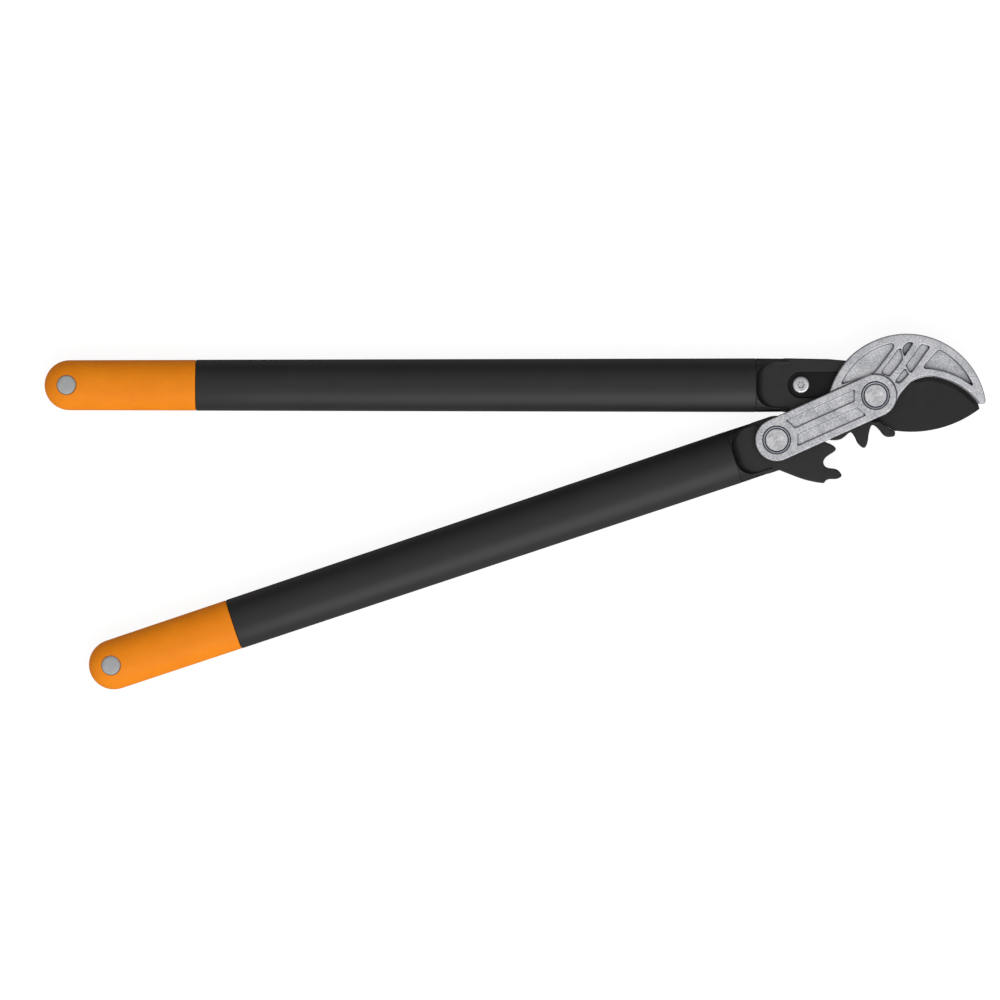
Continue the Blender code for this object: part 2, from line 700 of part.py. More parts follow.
def plate_root(handle):
    """The narrow root of a head's flat plate inside its collar, bottom and top halves."""
    low = handle.rise - HEAD_HALF_WIDTH
    high = handle.rise + HEAD_HALF_WIDTH
    near = handle.shoulder + PLATE_START
    narrow = handle.shoulder + PLATE_NARROW_END
    wide = handle.shoulder + PLATE_WIDE_START
    bottom = [(wide, low), (narrow, low + PLATE_INSET), (near, low + PLATE_INSET)]
    top = [(near, high - PLATE_INSET), (narrow, high - PLATE_INSET), (wide, high)]
    return bottom, top


def link_line(extra=0.0):
    """The outline of a link bar about the two pivots."""
    return stadium(GEAR_PIVOT, (0, 0), LINK_RADIUS + extra, 16)


def tang_corner(disc_radius, half_width):
    """The angle where the upper side of the tang leaves the hub disc.

    A side that would pass over the disc comes down to its top.
    """
    high = SCREW_PLACE[1] + half_width
    return 180 - math.degrees(math.asin(min(1, high / disc_radius)))


def root_arc(disc_radius, half_width, start, end, steps):
    """An arc of the hub disc, between the two places where the tang's sides meet it.

    A start or end of None stands for the lower or the upper of those places.
    """
    if start is None:
        start = -180 - math.degrees(math.asin((SCREW_PLACE[1] - half_width) / disc_radius))
    if end is None:
        end = tang_corner(disc_radius, half_width)
    return arc((0, 0), disc_radius, start, end, steps)


def root_line(disc_radius, half_width):
    """The outline of a hub disc about the blade pivot with a tang out to its screw."""
    return (root_arc(disc_radius, half_width, None, None, 26)
            + arc(SCREW_PLACE, half_width, 90, 270, 12))


# Moulded heads

def upper_head(handle, parent):
    """The upper head: collar, flat cheek, teeth, blade slot and screw recess."""
    bottom, top = plate_root(handle)
    drop = math.degrees(math.atan2(HEAD_TOP_END[1], HEAD_TOP_END[0])) - HUB_LEAD
    hub = arc((0, 0), HUB_RADIUS, drop, HEEL_ANGLES[0], 20)
    teeth = upper_tooth_points()[::-1]
    lower_edge = [(teeth[-1][0] - EDGE_LEAD, handle.rise - HEAD_HALF_WIDTH)]
    outline = top + [HEAD_TOP_BREAK, HEAD_TOP_END] + hub + heel_line() + teeth + lower_edge + bottom
    head = plate("upper_gear_head", outline, -HEAD_HALF_THICK, HEAD_HALF_THICK, parent, HEAD_CHAMFER)
    fuse(head, head_collar(handle, parent))
    slot = BLADE_HALF_THICK + BLADE_SLOT_GAP
    outline = root_line(BLADE_DISC_RADIUS + BORE_GAP, TANG_HALF_WIDTH + BORE_GAP)
    cut(head, plate("blade_slot", outline, -slot, slot, parent))
    for sign, label in ((1, "front"), (-1, "rear")):
        levels = sorted((sign * RECESS_HALF_THICK, sign * 2 * HEAD_HALF_THICK))
        outline = root_line(RECESS_HUB_RADIUS, RECESS_SCREW_RADIUS)
        cut(head, plate("recess_" + label, outline, *levels, parent))
    reach = 2 * HEAD_HALF_THICK
    cut(head, bore_tool("upper_head_bore", PIN_RADIUS + BORE_GAP, reach, -reach, parent))
    screw_bore = SCREW_RADIUS + BORE_GAP
    sleeve_bore = NUT_SLEEVE_RADIUS + BORE_GAP
    stepped = [(0, reach), (screw_bore, reach), (screw_bore, 0), (sleeve_bore, 0),
               (sleeve_bore, -reach), (0, -reach)]
    cut(head, turned("head_screw_bore", stepped, parent, SCREW_PLACE, HIDDEN_STEPS))
    return finish(head, "black_nylon")


def bore_tool(name, radius, high, low, parent, place=(0, 0)):
    """A round cutter between two heights."""
    return turned(name, [(0, high), (radius, high), (radius, low), (0, low)], parent, place, HIDDEN_STEPS)


def lower_head(handle, parent):
    """The lower head: collar, flat cheek and teeth round the gear pivot."""
    bottom, top = plate_root(handle)
    to_handle = Matrix.Rotation(math.radians(-HANDLE_SPREAD), 2)
    teeth = [tuple(to_handle @ Vector(point)) for point in lower_tooth_points()]
    hub = arc((0, 0), LOWER_HUB_RADIUS, *LOWER_HUB_ANGLES, 8)
    lower_edge = [(-LOWER_EDGE_START, handle.rise - HEAD_HALF_WIDTH)]
    outline = top + hub + teeth + lower_edge + bottom
    head = plate("lower_gear_head", outline, -HEAD_HALF_THICK, HEAD_HALF_THICK, parent, HEAD_CHAMFER)
    fuse(head, head_collar(handle, parent))
    reach = 2 * HEAD_HALF_THICK
    cut(head, bore_tool("lower_head_bore", BUSH_SLEEVE_RADIUS + BORE_GAP, reach, -reach, parent))
    return finish(head, "black_nylon")


# Blade and its screw

def blade_back():
    """The blade's back, from its tip to its heel, and then the heel line in to the hub disc."""
    edge = anvil_face(SEAT_GAP)
    tip = (edge[0][0] + BLADE_TIP_LEAN, edge[0][1] - BLADE_TIP_CUT)
    tip_angle = math.degrees(math.atan2(tip[1] - BLADE_BACK_CENTRE[1], tip[0] - BLADE_BACK_CENTRE[0]))
    past_back = BLADE_BACK_RADIUS + SEAT_GAP
    heel = [point for point in heel_line(SEAT_GAP)[::-1]
            if math.hypot(*point) > BLADE_DISC_RADIUS and math.dist(point, BLADE_BACK_CENTRE) < past_back]
    heel_angle = math.degrees(math.atan2(heel[0][1] - BLADE_BACK_CENTRE[1],
                                         heel[0][0] - BLADE_BACK_CENTRE[0]))
    return arc(BLADE_BACK_CENTRE, BLADE_BACK_RADIUS, tip_angle, heel_angle + 1, 18), heel


def blade_root(heel_end):
    """The rest of the blade's outline: hub disc, tang, disc again and up to the throat."""
    turn_in = math.degrees(math.atan2(heel_end[1], heel_end[0]))
    sweep = [point for point in hub_sweep(SEAT_GAP) if math.hypot(*point) > BLADE_DISC_RADIUS]
    join = math.degrees(math.atan2(sweep[-1][1], sweep[-1][0]))
    return (root_arc(BLADE_DISC_RADIUS, TANG_HALF_WIDTH, None, turn_in - 1, 9)[::-1]
            + arc(SCREW_PLACE, TANG_HALF_WIDTH, 270, 90, 12)
            + root_arc(BLADE_DISC_RADIUS, TANG_HALF_WIDTH, join, None, 9)[::-1] + sweep[::-1])


def cutting_blade(parent):
    """The blade: a ground leaf, a hub disc and a tang that fills the slot of the head.

    The grind runs off through the tip and fades out at the throat.
    """
    edge = anvil_face(SEAT_GAP)
    full = anvil_face(SEAT_GAP + GRIND_WIDTH)
    ends = len(edge) - 1
    inside = BLADE_BACK_RADIUS - GRIND_CLEAR
    first = next(i for i in range(ends) if math.dist(full[i], BLADE_BACK_CENTRE) < inside)
    ground = []
    for i in range(first, ends):
        fade = math.sin(min(1.0, (ends - i) / GRIND_FADE_STEPS) * math.pi / 2)
        ground.append(tuple(Vector(edge[i]).lerp(Vector(full[i]), fade)))
    back, heel = blade_back()
    outer = back + heel + blade_root(heel[-1])
    depths = [FACE_RADIUS - SEAT_GAP - math.dist(point, FACE_CENTRE) for point in back]
    thick_from = next(i for i, depth in enumerate(depths) if depth > GRIND_WIDTH)
    bm = bmesh.new()
    edge_verts, ground_verts, outer_verts = (
        [bm.verts.new((x, y, 0)) for x, y in line] for line in (edge, ground, outer))
    bm.faces.new(edge_verts[:first + 1] + ground_verts[:1] + outer_verts[:thick_from + 1][::-1])
    for i in range(first, ends - 1):
        bm.faces.new((edge_verts[i], edge_verts[i + 1], ground_verts[i + 1 - first],
                      ground_verts[i - first]))
    bm.faces.new((edge_verts[ends - 1], edge_verts[ends], ground_verts[-1]))
    bm.faces.new(ground_verts + edge_verts[-1:] + outer_verts[thick_from:][::-1])
    bmesh.ops.recalc_face_normals(bm, faces=bm.faces)
    mesh = bpy.data.meshes.new("cutting_blade")
    bm.to_mesh(mesh)
    bm.free()
    blade = add_object("cutting_blade", mesh, parent)
    group = blade.vertex_groups.new(name="full_thickness")
    group.add(range(ends, len(mesh.vertices)), 1.0, "REPLACE")
    back_from = len(edge) + len(ground)
    for i, depth in enumerate(depths[:thick_from]):
        group.add([back_from + i], max(0.0, depth / GRIND_WIDTH), "REPLACE")
    shell = blade.modifiers.new("thickness", "SOLIDIFY")
    shell.thickness = 2 * BLADE_HALF_THICK
    shell.offset = 0
    shell.vertex_group = group.name
    shell.thickness_vertex_group = EDGE_SHARE
    reach = 2 * BLADE_HALF_THICK
    cut(blade, bore_tool("blade_bore", PIN_RADIUS + BORE_GAP, reach, -reach, parent))
    cut(blade, bore_tool("blade_screw_bore", SCREW_RADIUS + BORE_GAP, reach, -reach, parent, SCREW_PLACE))
    return finish(blade, "coated_blade")


def tang_screw(parent):
    """The pan-head screw through the tang, with a six-lobe socket."""
    seat = RECESS_HALF_THICK + SEAT_GAP
    top = seat + SCREW_HEAD_HEIGHT
    end = -seat - NUT_HEAD_HEIGHT + SCREW_END_COVER + SEAT_GAP
    r = SCREW_HEAD_RADIUS
    profile = [
        (0, top), *[(share * r, top - drop * MM) for share, drop in SCREW_DOME],
        (r, seat + SCREW_SKIRT), (SCREW_SEAT_SHARE * r, seat), (SCREW_RADIUS, seat),
        (SCREW_RADIUS, end), (0, end),
    ]
    screw = turned("tang_screw", profile, parent, SCREW_PLACE, HIDDEN_STEPS)
    lobes = []
    for i in range(36):
        angle = 10 * i
        lobes.append(polar(SCREW_PLACE, SOCKET_RADIUS + SOCKET_LOBE * math.cos(math.radians(6 * angle)),
                           angle))
    cut(screw, plate("screw_socket", lobes, top - SOCKET_DEPTH, top + OVERSHOOT, parent))
    return finish(screw, "turned_steel")


def tang_nut(parent):
    """The round sleeve nut that the screw draws against the rear of the head."""
    seat = -RECESS_HALF_THICK - SEAT_GAP
    inner = -BLADE_HALF_THICK - BLADE_SLOT_GAP - SLEEVE_END_GAP
    low = seat - NUT_HEAD_HEIGHT
    cover = low + SCREW_END_COVER
    bore = SCREW_RADIUS + BORE_GAP
    profile = [
        (0, cover), (bore, cover), (bore, inner), (NUT_SLEEVE_RADIUS, inner),
        (NUT_SLEEVE_RADIUS, seat), (SCREW_HEAD_RADIUS, seat), (SCREW_HEAD_RADIUS, low + NUT_CHAMFER),
        (NUT_FACE_SHARE * SCREW_HEAD_RADIUS, low), (0, low),
    ]
    return finish(turned("tang_nut", profile, parent, SCREW_PLACE, HIDDEN_STEPS), "turned_steel")


# Anvil

def outer_rim_arc(start, end, steps):
    """Points on the inner side of the anvil's outer rim."""
    return arc(ANVIL_CENTRE, ANVIL_RADIUS - OUTER_RIM, start, end, steps)


def inner_rim_arc(start, end, steps):
    """Points on the upper side of the rim behind the bite."""
    return arc(FACE_CENTRE, FACE_RADIUS + INNER_RIM, start, end, steps)


def anvil_pockets():
    """The weight-saving pockets of one side: outline and half height of the floor."""
    tail = outer_rim_arc(*TAIL_POCKET_ANGLES, 9) + in_mm(TAIL_POCKET)
    bite = (outer_rim_arc(*BITE_POCKET_OUTER_ANGLES, 8) + inner_rim_arc(*BITE_POCKET_INNER_ANGLES, 7)
            + in_mm([BITE_POCKET_HEEL]))
    shallow = CHEEK_HALF_THICK + WEB_STEP - CHEEK_POCKET_DEPTH
    deep = ANVIL_HALF_THICK - WEB_POCKET_DEPTH
    return (
        ("tail", rounded(tail, RIM_ROUND, 1), shallow),
        ("channel", rounded(in_mm(CHANNEL_POCKET), POCKET_ROUND, 2), shallow),
        ("moon", smooth(in_mm(MOON_POCKET), 3), deep),
        ("upper_bar", rounded(in_mm(UPPER_BAR_POCKET), POCKET_ROUND, 2), shallow),
        ("lower_bar", rounded(in_mm(LOWER_BAR_POCKET), POCKET_ROUND, 2), shallow),
        ("bite", rounded(bite, RIM_ROUND, 1), deep),
    )


def anvil(parent):
    """The cast anvil: two cheeks joined by a solid web behind the bite."""
    rim = arc(ANVIL_CENTRE, ANVIL_RADIUS, TAIL_ANGLE, TIP_ANGLE, 36)
    bite = anvil_face() + hub_sweep()
    hub = arc((0, 0), ANVIL_HUB_RADIUS, HOLLOW_END_ANGLE - HUB_LEAD, ANVIL_HUB_END, 8)
    outline = rim + [ANVIL_NOSE] + bite + hub
    low = -ANVIL_HALF_THICK / 4
    high = 2 * ANVIL_HALF_THICK
    body = plate("anvil", outline, low, ANVIL_HALF_THICK, parent, ANVIL_CHAMFER)
    cut(body, plate("link_seat", link_line(SEAT_GAP), CHEEK_HALF_THICK, high, parent))
    for name, outline, floor in anvil_pockets():
        cut(body, plate("pocket_" + name, outline, floor, high, parent))
    slot = HEAD_HALF_THICK + SEAT_GAP
    cut(body, bore_tool("slot_disc", BLADE_DISC_RADIUS + SLOT_DISC_GAP, slot, 2 * low, parent))
    head_corner = math.degrees(math.atan2(HEAD_TOP_END[1], HEAD_TOP_END[0]))
    corner = min(head_corner, tang_corner(BLADE_DISC_RADIUS, TANG_HALF_WIDTH))
    web_side = corner - UPPER_OPENING - SWEEP_MARGIN
    far = 2 * ANVIL_RADIUS
    sweep = [(0, 0)] + arc((0, 0), far, web_side, SWEEP_END_ANGLE, 12)
    cut(body, plate("slot_sweep", sweep, 2 * low, slot, parent))
    cut(body, bore_tool("anvil_bore", PIN_RADIUS + BORE_GAP, high, 2 * low, parent))
    mirror = body.modifiers.new("both_sides", "MIRROR")
    mirror.use_axis = (False, False, True)
    mirror.use_bisect_axis = (False, False, True)
    mirror.use_clip = True
    mirror.merge_threshold = MERGE_DISTANCE
    return finish(body, "cast_alloy")


# Link bars

def link_bar(side, frame):
    """A cast link bar in the frame of the gear pivot, +X towards the blade pivot."""
    far = (PIVOT_DISTANCE, 0)
    bar = plate("link_" + side, stadium((0, 0), far, LINK_RADIUS, 18), LINK_LOW, LINK_HIGH, frame,
                LINK_CHAMFER)
    wall = LINK_RADIUS
    reach_in = math.sqrt(wall ** 2 - LINK_RIB_HALF ** 2)
    reach_out = math.sqrt(wall ** 2 - LINK_POCKET_OUT ** 2)
    start = math.degrees(math.asin(LINK_RIB_HALF / wall))
    end = math.degrees(math.asin(LINK_POCKET_OUT / wall))
    near_end = arc((0, 0), wall, end, start, 4)
    far_end = [(PIVOT_DISTANCE - x, y) for x, y in reversed(near_end)]
    upper = rounded(near_end + far_end, POCKET_ROUND, 1)
    lower = [(PIVOT_DISTANCE - x, -y) for x, y in upper]
    floor = LINK_HIGH - LINK_POCKET_DEPTH
    over = LINK_HIGH + OVERSHOOT
    for name, outline in (("upper", upper), ("lower", lower)):
        cut(bar, plate("link_%s_pocket_%s" % (side, name), outline, floor, over, frame))
    for name, place in (("gear", (0, 0)), ("blade", far)):
        cut(bar, bore_tool("link_%s_bore_%s" % (side, name), PIN_RADIUS + BORE_GAP, over,
                           LINK_LOW - OVERSHOOT, frame, place))
        cut(bar, bore_tool("link_%s_counterbore_%s" % (side, name), PIN_HEAD_RADIUS + BORE_GAP, over,
                           LINK_HIGH - COUNTERBORE_DEPTH, frame, place))
    return finish(bar, "cast_alloy")


# Pivot pins, nuts, bushes and washers

def pin_head():
    """The turned head of a pin, from its centre to its seat: face, groove, ring and edge."""
    top = LINK_HIGH + PIN_PROUD
    ring = top - PIN_RING_DROP
    groove = PIN_FACE_RADIUS + PIN_GROOVE
    return [
        (0, top), (PIN_FACE_RADIUS, top), (groove, top - PIN_GROOVE_DEPTH), (groove + PIN_GROOVE, ring),
        (PIN_HEAD_RADIUS - PIN_EDGE, ring), (PIN_HEAD_RADIUS, ring - PIN_EDGE),
        (PIN_HEAD_RADIUS, LINK_HIGH - COUNTERBORE_DEPTH + SEAT_GAP),
    ]


def pivot_pin(name, parent, place):
    """A pivot pin with its flat head at the front."""
    head = pin_head()
    seat = head[-1][1]
    end = NUT_FLOOR + SEAT_GAP - head[0][1]
    profile = head + [
        (PIN_RADIUS, seat), (PIN_RADIUS, -LINK_LOW), (PIN_THREAD_RADIUS, -LINK_LOW),
        (PIN_THREAD_RADIUS, end), (0, end),
    ]
    return finish(turned(name, profile, parent, place), "turned_steel")


def pivot_nut(name, parent, place):
    """The sleeve nut that closes a pivot pin at the rear."""
    head = [(radius, -height) for radius, height in reversed(pin_head())]
    seat = head[0][1]
    floor = head[-1][1] + NUT_FLOOR
    bore = PIN_THREAD_RADIUS + BORE_GAP
    inner = -LINK_LOW - SEAT_GAP
    profile = [(0, floor), (bore, floor), (bore, inner), (PIN_RADIUS, inner), (PIN_RADIUS, seat)] + head
    return finish(turned(name, profile, parent, place), "turned_steel")


def gear_bush(side, sign, parent, place):
    """A flanged bush that carries the lower head and spaces it from a link bar."""
    bore = PIN_RADIUS + BORE_GAP
    flange_low = HEAD_HALF_THICK + SEAT_GAP
    profile = [
        (bore, CHEEK_HALF_THICK), (BUSH_FLANGE_RADIUS, CHEEK_HALF_THICK), (BUSH_FLANGE_RADIUS, flange_low),
        (BUSH_SLEEVE_RADIUS, flange_low), (BUSH_SLEEVE_RADIUS, SEAT_GAP / 2), (bore, SEAT_GAP / 2),
    ]
    if sign < 0:
        profile = [(radius, -height) for radius, height in reversed(profile)]
    return finish(turned("gear_bush_" + side, profile, parent, place, HIDDEN_STEPS), "bush_polymer")


def pivot_washer(side, sign, parent):
    """A thin washer between the upper head and a cheek of the anvil."""
    bore = PIN_RADIUS + BORE_GAP
    high = HEAD_HALF_THICK
    low = RECESS_HALF_THICK + SEAT_GAP
    profile = [(bore, high), (WASHER_RADIUS, high), (WASHER_RADIUS, low), (bore, low)]
    if sign < 0:
        profile = [(radius, -height) for radius, height in reversed(profile)]
    return finish(turned("pivot_washer_" + side, profile, parent, (0, 0), HIDDEN_STEPS), "bush_polymer")


# Assembly

def stand_on_floor(frame):
    """Move the whole tool so that it lies on Z = 0, centred on the origin."""
    bpy.context.view_layer.update()
    graph = bpy.context.evaluated_depsgraph_get()
    points = []
    for obj in bpy.data.collections[MODEL_NAME].objects:
        if obj.type == "MESH":
            vertices = obj.evaluated_get(graph).to_mesh().vertices
            points += [obj.matrix_world @ vertex.co for vertex in vertices]
    low = [min(point[i] for point in points) for i in range(3)]
    high = [max(point[i] for point in points) for i in range(3)]
    frame.location = (-(low[0] + high[0]) / 2, -(low[1] + high[1]) / 2, -low[2])
    bpy.context.view_layer.update()


def build_handle(handle, frame, head):
    """One handle on its joint frame: tube, grip, plug and geared head."""
    handle_tube(handle, frame)
    handle_grip(handle, frame)
    grip_plug(handle, frame)
    head(handle, frame)


def main():
    """Build every piece on its frame and lay the tool on the floor."""
    clear_scene()
    frame = empty("lopper_frame")
    blade_joint = empty("blade_joint", frame)
    gear_joint = empty("gear_joint", frame, (*GEAR_PIVOT, 0), HANDLE_SPREAD)
    link_frame = empty("link_frame", frame, (*GEAR_PIVOT, 0), MESH_LINE_ANGLE)
    rear_frame = empty("link_rear_frame", link_frame)
    rear_frame.rotation_euler.x = math.pi

    build_handle(Handle("upper", UPPER_REACH, UPPER_SHOULDER, UPPER_AXIS_RISE), blade_joint, upper_head)
    build_handle(Handle("lower", LOWER_REACH, LOWER_SHOULDER, LOWER_AXIS_RISE), gear_joint, lower_head)
    cutting_blade(blade_joint)
    tang_screw(blade_joint)
    tang_nut(blade_joint)

    anvil(frame)
    link_bar("front", link_frame)
    link_bar("rear", rear_frame)
    for name, place in (("blade", (0, 0)), ("gear", GEAR_PIVOT)):
        pivot_pin(name + "_pivot_pin", frame, place)
        pivot_nut(name + "_pivot_nut", frame, place)
    for side, sign in (("front", 1), ("rear", -1)):
        gear_bush(side, sign, frame, GEAR_PIVOT)
        pivot_washer(side, sign, frame)
    stand_on_floor(frame)


main()
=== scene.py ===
"""Geared anvil lopper on a pale floor, seen straight down as in the photograph."""

import json
import math

import bmesh
import bpy
from mathutils import Matrix, Vector

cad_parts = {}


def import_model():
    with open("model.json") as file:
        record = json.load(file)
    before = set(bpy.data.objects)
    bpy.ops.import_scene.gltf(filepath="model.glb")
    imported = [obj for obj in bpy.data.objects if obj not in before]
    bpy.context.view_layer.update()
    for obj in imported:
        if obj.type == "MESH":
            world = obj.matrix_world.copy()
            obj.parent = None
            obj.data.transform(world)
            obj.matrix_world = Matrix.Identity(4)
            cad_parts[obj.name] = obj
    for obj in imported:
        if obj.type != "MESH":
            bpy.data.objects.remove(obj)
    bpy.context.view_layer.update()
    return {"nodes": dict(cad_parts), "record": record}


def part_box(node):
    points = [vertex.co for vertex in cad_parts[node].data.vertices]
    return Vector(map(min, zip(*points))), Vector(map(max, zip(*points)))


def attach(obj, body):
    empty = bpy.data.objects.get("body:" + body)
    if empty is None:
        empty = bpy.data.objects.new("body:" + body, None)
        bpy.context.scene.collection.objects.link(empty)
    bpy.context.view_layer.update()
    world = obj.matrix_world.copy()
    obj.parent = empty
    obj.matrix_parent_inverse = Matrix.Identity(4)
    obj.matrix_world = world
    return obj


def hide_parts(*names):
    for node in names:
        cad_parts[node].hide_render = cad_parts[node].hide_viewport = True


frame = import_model()
nodes = frame["nodes"]

MM = 0.001

# Places from the CAD model
MIDDLE = 13.5 * MM
BLADE_LOW, BLADE_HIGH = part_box("blade_pivot_pin")
GEAR_LOW, GEAR_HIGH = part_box("gear_pivot_pin")
UPPER_GRIP_LOW, UPPER_GRIP_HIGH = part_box("upper_grip")
BLADE_PIVOT = (BLADE_LOW + BLADE_HIGH) / 2
GEAR_PIVOT = (GEAR_LOW + GEAR_HIGH) / 2
UPPER_RISE = (UPPER_GRIP_LOW.y + UPPER_GRIP_HIGH.y) / 2 - BLADE_PIVOT.y

# Sizes of the CAD model
SEAT_GAP = 0.3 * MM
UPPER_REACH = 608.7 * MM
LOWER_REACH = 531.0 * MM
UPPER_SHOULDER = 87.7 * MM
LOWER_SHOULDER = 34.0 * MM
LOWER_RISE = -2.0 * MM
HANDLE_SPREAD = 18.5
HEAD_HALF_WIDTH = 19.7 * MM
END_HALF_WIDTH = 18.4 * MM
HANDLE_HALF_THICK = 13.3 * MM
OVAL_POWER = 2.2
TUBE_WALL = 2.3 * MM
GRIP_LENGTH = 111.0 * MM
GRIP_WALL = 2.4 * MM
PLUG_FROM_END = 16.9 * MM
PLUG_RADIUS = 7.0 * MM
PLUG_SUNK = 0.4 * MM
CORE_STOP = 3.3 * MM
PIN_RADIUS = 5.2 * MM
PIN_THREAD_RADIUS = 3.6 * MM
PIN_FACE_RADIUS = 8.1 * MM
PIN_HEAD_RADIUS = 10.1 * MM
HEAD_TOP = 13.5 * MM
HEAD_SEAT = 11.9 * MM
RECESS_HEIGHT = 5.4 * MM
PLATE_HEIGHT = 6.2 * MM
SCREW_HEAD_RADIUS = 6.2 * MM
SCREW_HEAD_HEIGHT = 2.9 * MM
SCREW_RADIUS = 2.4 * MM
NUT_SLEEVE_RADIUS = 3.5 * MM
NUT_HEAD_HEIGHT = 2.2 * MM
LINK_LOW = 8.9 * MM

# Finer shapes: meshes
SHARP_ANGLE = math.radians(40)
WELD_REACH = 0.005 * MM
SMOOTHING = 0.5
MOULDED = (
    # node, size of a voxel, smoothing passes, share of faces kept
    ("anvil", 0.45 * MM, 5, 0.25),
    ("link_front", 0.4 * MM, 4, 0.25),
    ("link_rear", 0.4 * MM, 4, 0.25),
    ("upper_gear_head", 0.45 * MM, 4, 0.2),
    ("lower_gear_head", 0.45 * MM, 4, 0.2),
)

# Finer shapes: oval handles
OVAL_SIDES = 96
LIP_STEPS = 4
TUBE_LIP = 0.5 * MM
TUBE_END_LIP = 0.12 * MM
TUBE_BUTT = 0.22 * MM
TUBE_RINGS = 8
GRIP_LIP = 0.6 * MM
GRIP_RINGS = 24
GRIP_INSET = 0.1 * MM
DOME_STEPS = 24
DOME_POWER = 0.8
PLUG_SWELL = 0.2 * MM
# Share of the plug's radius, drop from its face in mm
PLUG_CROWN = ((0, 0), (0.35, 0.04), (0.6, 0.16), (0.78, 0.38), (0.9, 0.72), (0.97, 1.15),
              (1.0, 1.8))

# Finer shapes: turned pieces
TURNED_SIDES = 96
FACE_PITCH = 0.5 * MM
FACE_GROOVE = 0.012 * MM
# Step out from the face's or the head's radius, drop from the top, both in mm
FACE_EDGE = ((-0.1, 0.02), (0.1, 0.2), (0.35, 0.5), (0.6, 0.3), (0.8, 0.16))
HEAD_EDGE = ((-0.5, 0.15), (-0.2, 0.22), (-0.05, 0.38), (0, 0.6))
SOCKET_LOBES = 6
SOCKET_RADIUS = 2.2 * MM
SOCKET_LOBE = 0.35 * MM
# Share of the socket's or the head's radius, drop from the top in mm
SOCKET_WALL = ((0.92, 1.4), (1.0, 0.35), (1.12, 0.06))
SCREW_DOME = ((0.62, 0.04), (0.74, 0.1), (0.84, 0.22), (0.91, 0.4), (0.96, 0.66), (0.99, 1.05),
              (1.0, 1.6), (0.995, 2.6), (0.97, 2.88))
# Share of the nut's radius, rise from its rear face in mm
NUT_EDGE = ((0.8, 0), (0.9, 0.2), (0.97, 0.5), (1.0, 0.9))

# How materials follow shapes
NOISE_LOW, NOISE_HIGH = 0.3, 0.7
# Samples of the painted shade in inward corners
CREVICE_SAMPLES = 12
GRAZING_BLEND = 0.35
# Share of rubbed wear and painted highlight on sharp outward edges
WEAR_AND_HIGHLIGHT_SHARE = 0.6
# Upward part of the normal on a rounded turn, where painted shade goes: its middle, half its range
# and its soft edge
TURN_TILT, TURN_HALF, TURN_SOFT = 0.55, 0.25, 0.15
# Part of the normal that faces the jaw: where the painted shade of coves starts and is full, and
# its full share
COVE_START, COVE_FULL, COVE_SHADE_SHARE = 0.08, 0.45, 0.85

# Black nylon: edges of its height bands, and its colour and sheen darkened as painted shade in
# recesses, coves and corners
RECESS_SOFT = 0.3 * MM
PLATE_SOFT = 0.6 * MM
COVE_FADE = 5.0 * MM
RECESS_SHADE_BLACK, RECESS_SHADE_SHEEN = (0.0045, 0.0045, 0.0046), 0.55
COVE_SHADE_BLACK, COVE_SHADE_SHEEN = (0.003, 0.003, 0.003), 0.12
CORNER_SHADE_BLACK, CORNER_SHADE_SHEEN = (0.001, 0.001, 0.001), 0.02
FLAT_GRAIN = 0.5
COLLAR_GLOSS = 0.38

# Cast alloy: its specks as positions in the noise and colours, and how much its clouds show
ALLOY_SPECKS = ((0.36, (0.21, 0.215, 0.25)), (0.46, (0.39, 0.395, 0.425)),
                (0.55, (0.52, 0.52, 0.545)), (0.66, (0.79, 0.79, 0.80)))
ALLOY_CLOUDS = 0.35

# Turned steel: its marks, and darker bands of painted shade on the chamfer ring, groove and rim,
# as middle radius, half width and colour
TURNING_RINGS = 3.2 * MM
STEEL_SHADE_BANDS = (
    ((PIN_FACE_RADIUS + PIN_HEAD_RADIUS) / 2, 0.9 * MM, (0.27, 0.28, 0.31)),
    (PIN_FACE_RADIUS + 0.3 * MM, 0.35 * MM, (0.09, 0.10, 0.13)),
    (PIN_HEAD_RADIUS, 0.25 * MM, (0.05, 0.06, 0.08)),
)
STEEL_SHADE_SOFT = 0.3 * MM

# The photograph's view
PIXEL = 0.7333 * MM
BLADE_PIVOT_PIXEL = (874.6, 395.7)
PICTURE_SIZE = 1000
CAMERA_DISTANCE = 5.0
SENSOR_WIDTH = 36
CLIP_END = 50

# Light: the sky as levels towards its brightest point, and one soft lamp
SKY_PEAK = (0.0, -0.6, 0.8)
SKY_LEVELS = ((0.0, 0.20), (0.35, 0.54), (0.78, 0.90), (1.0, 1.0))
SKY_STRENGTH = 1.0
KEY_PLACE = (0.6, -1.05, 1.5)
KEY_AIM = (0.0, 0.0, 0.0)
KEY_SIZE = (2.0, 1.3)
KEY_WATTS = 15

# Floor
FLOOR_HALF = 6
FLOOR_CLOUDS = 0.2
FLOOR_DARK, FLOOR_LIGHT = 0.61, 0.63
FLOOR_ROUGHNESS = 0.9
FLOOR_DROP = 0.4 * MM
FLOOR_GLOW = 1.2
FLOOR_SEEN_GLOW = 0.75
FLOOR_MIRRORED_GLOW = 0.08


# Node tree helpers

def grey(level):
    """A neutral colour."""
    return (level, level, level)


def set_stops(band, stops):
    """Give a colour ramp its (position, colour) stops."""
    while len(band.elements) < len(stops):
        band.elements.new(0.5)
    for element, (position, colour) in zip(band.elements, stops):
        element.position = position
        element.color = (*colour, 1)


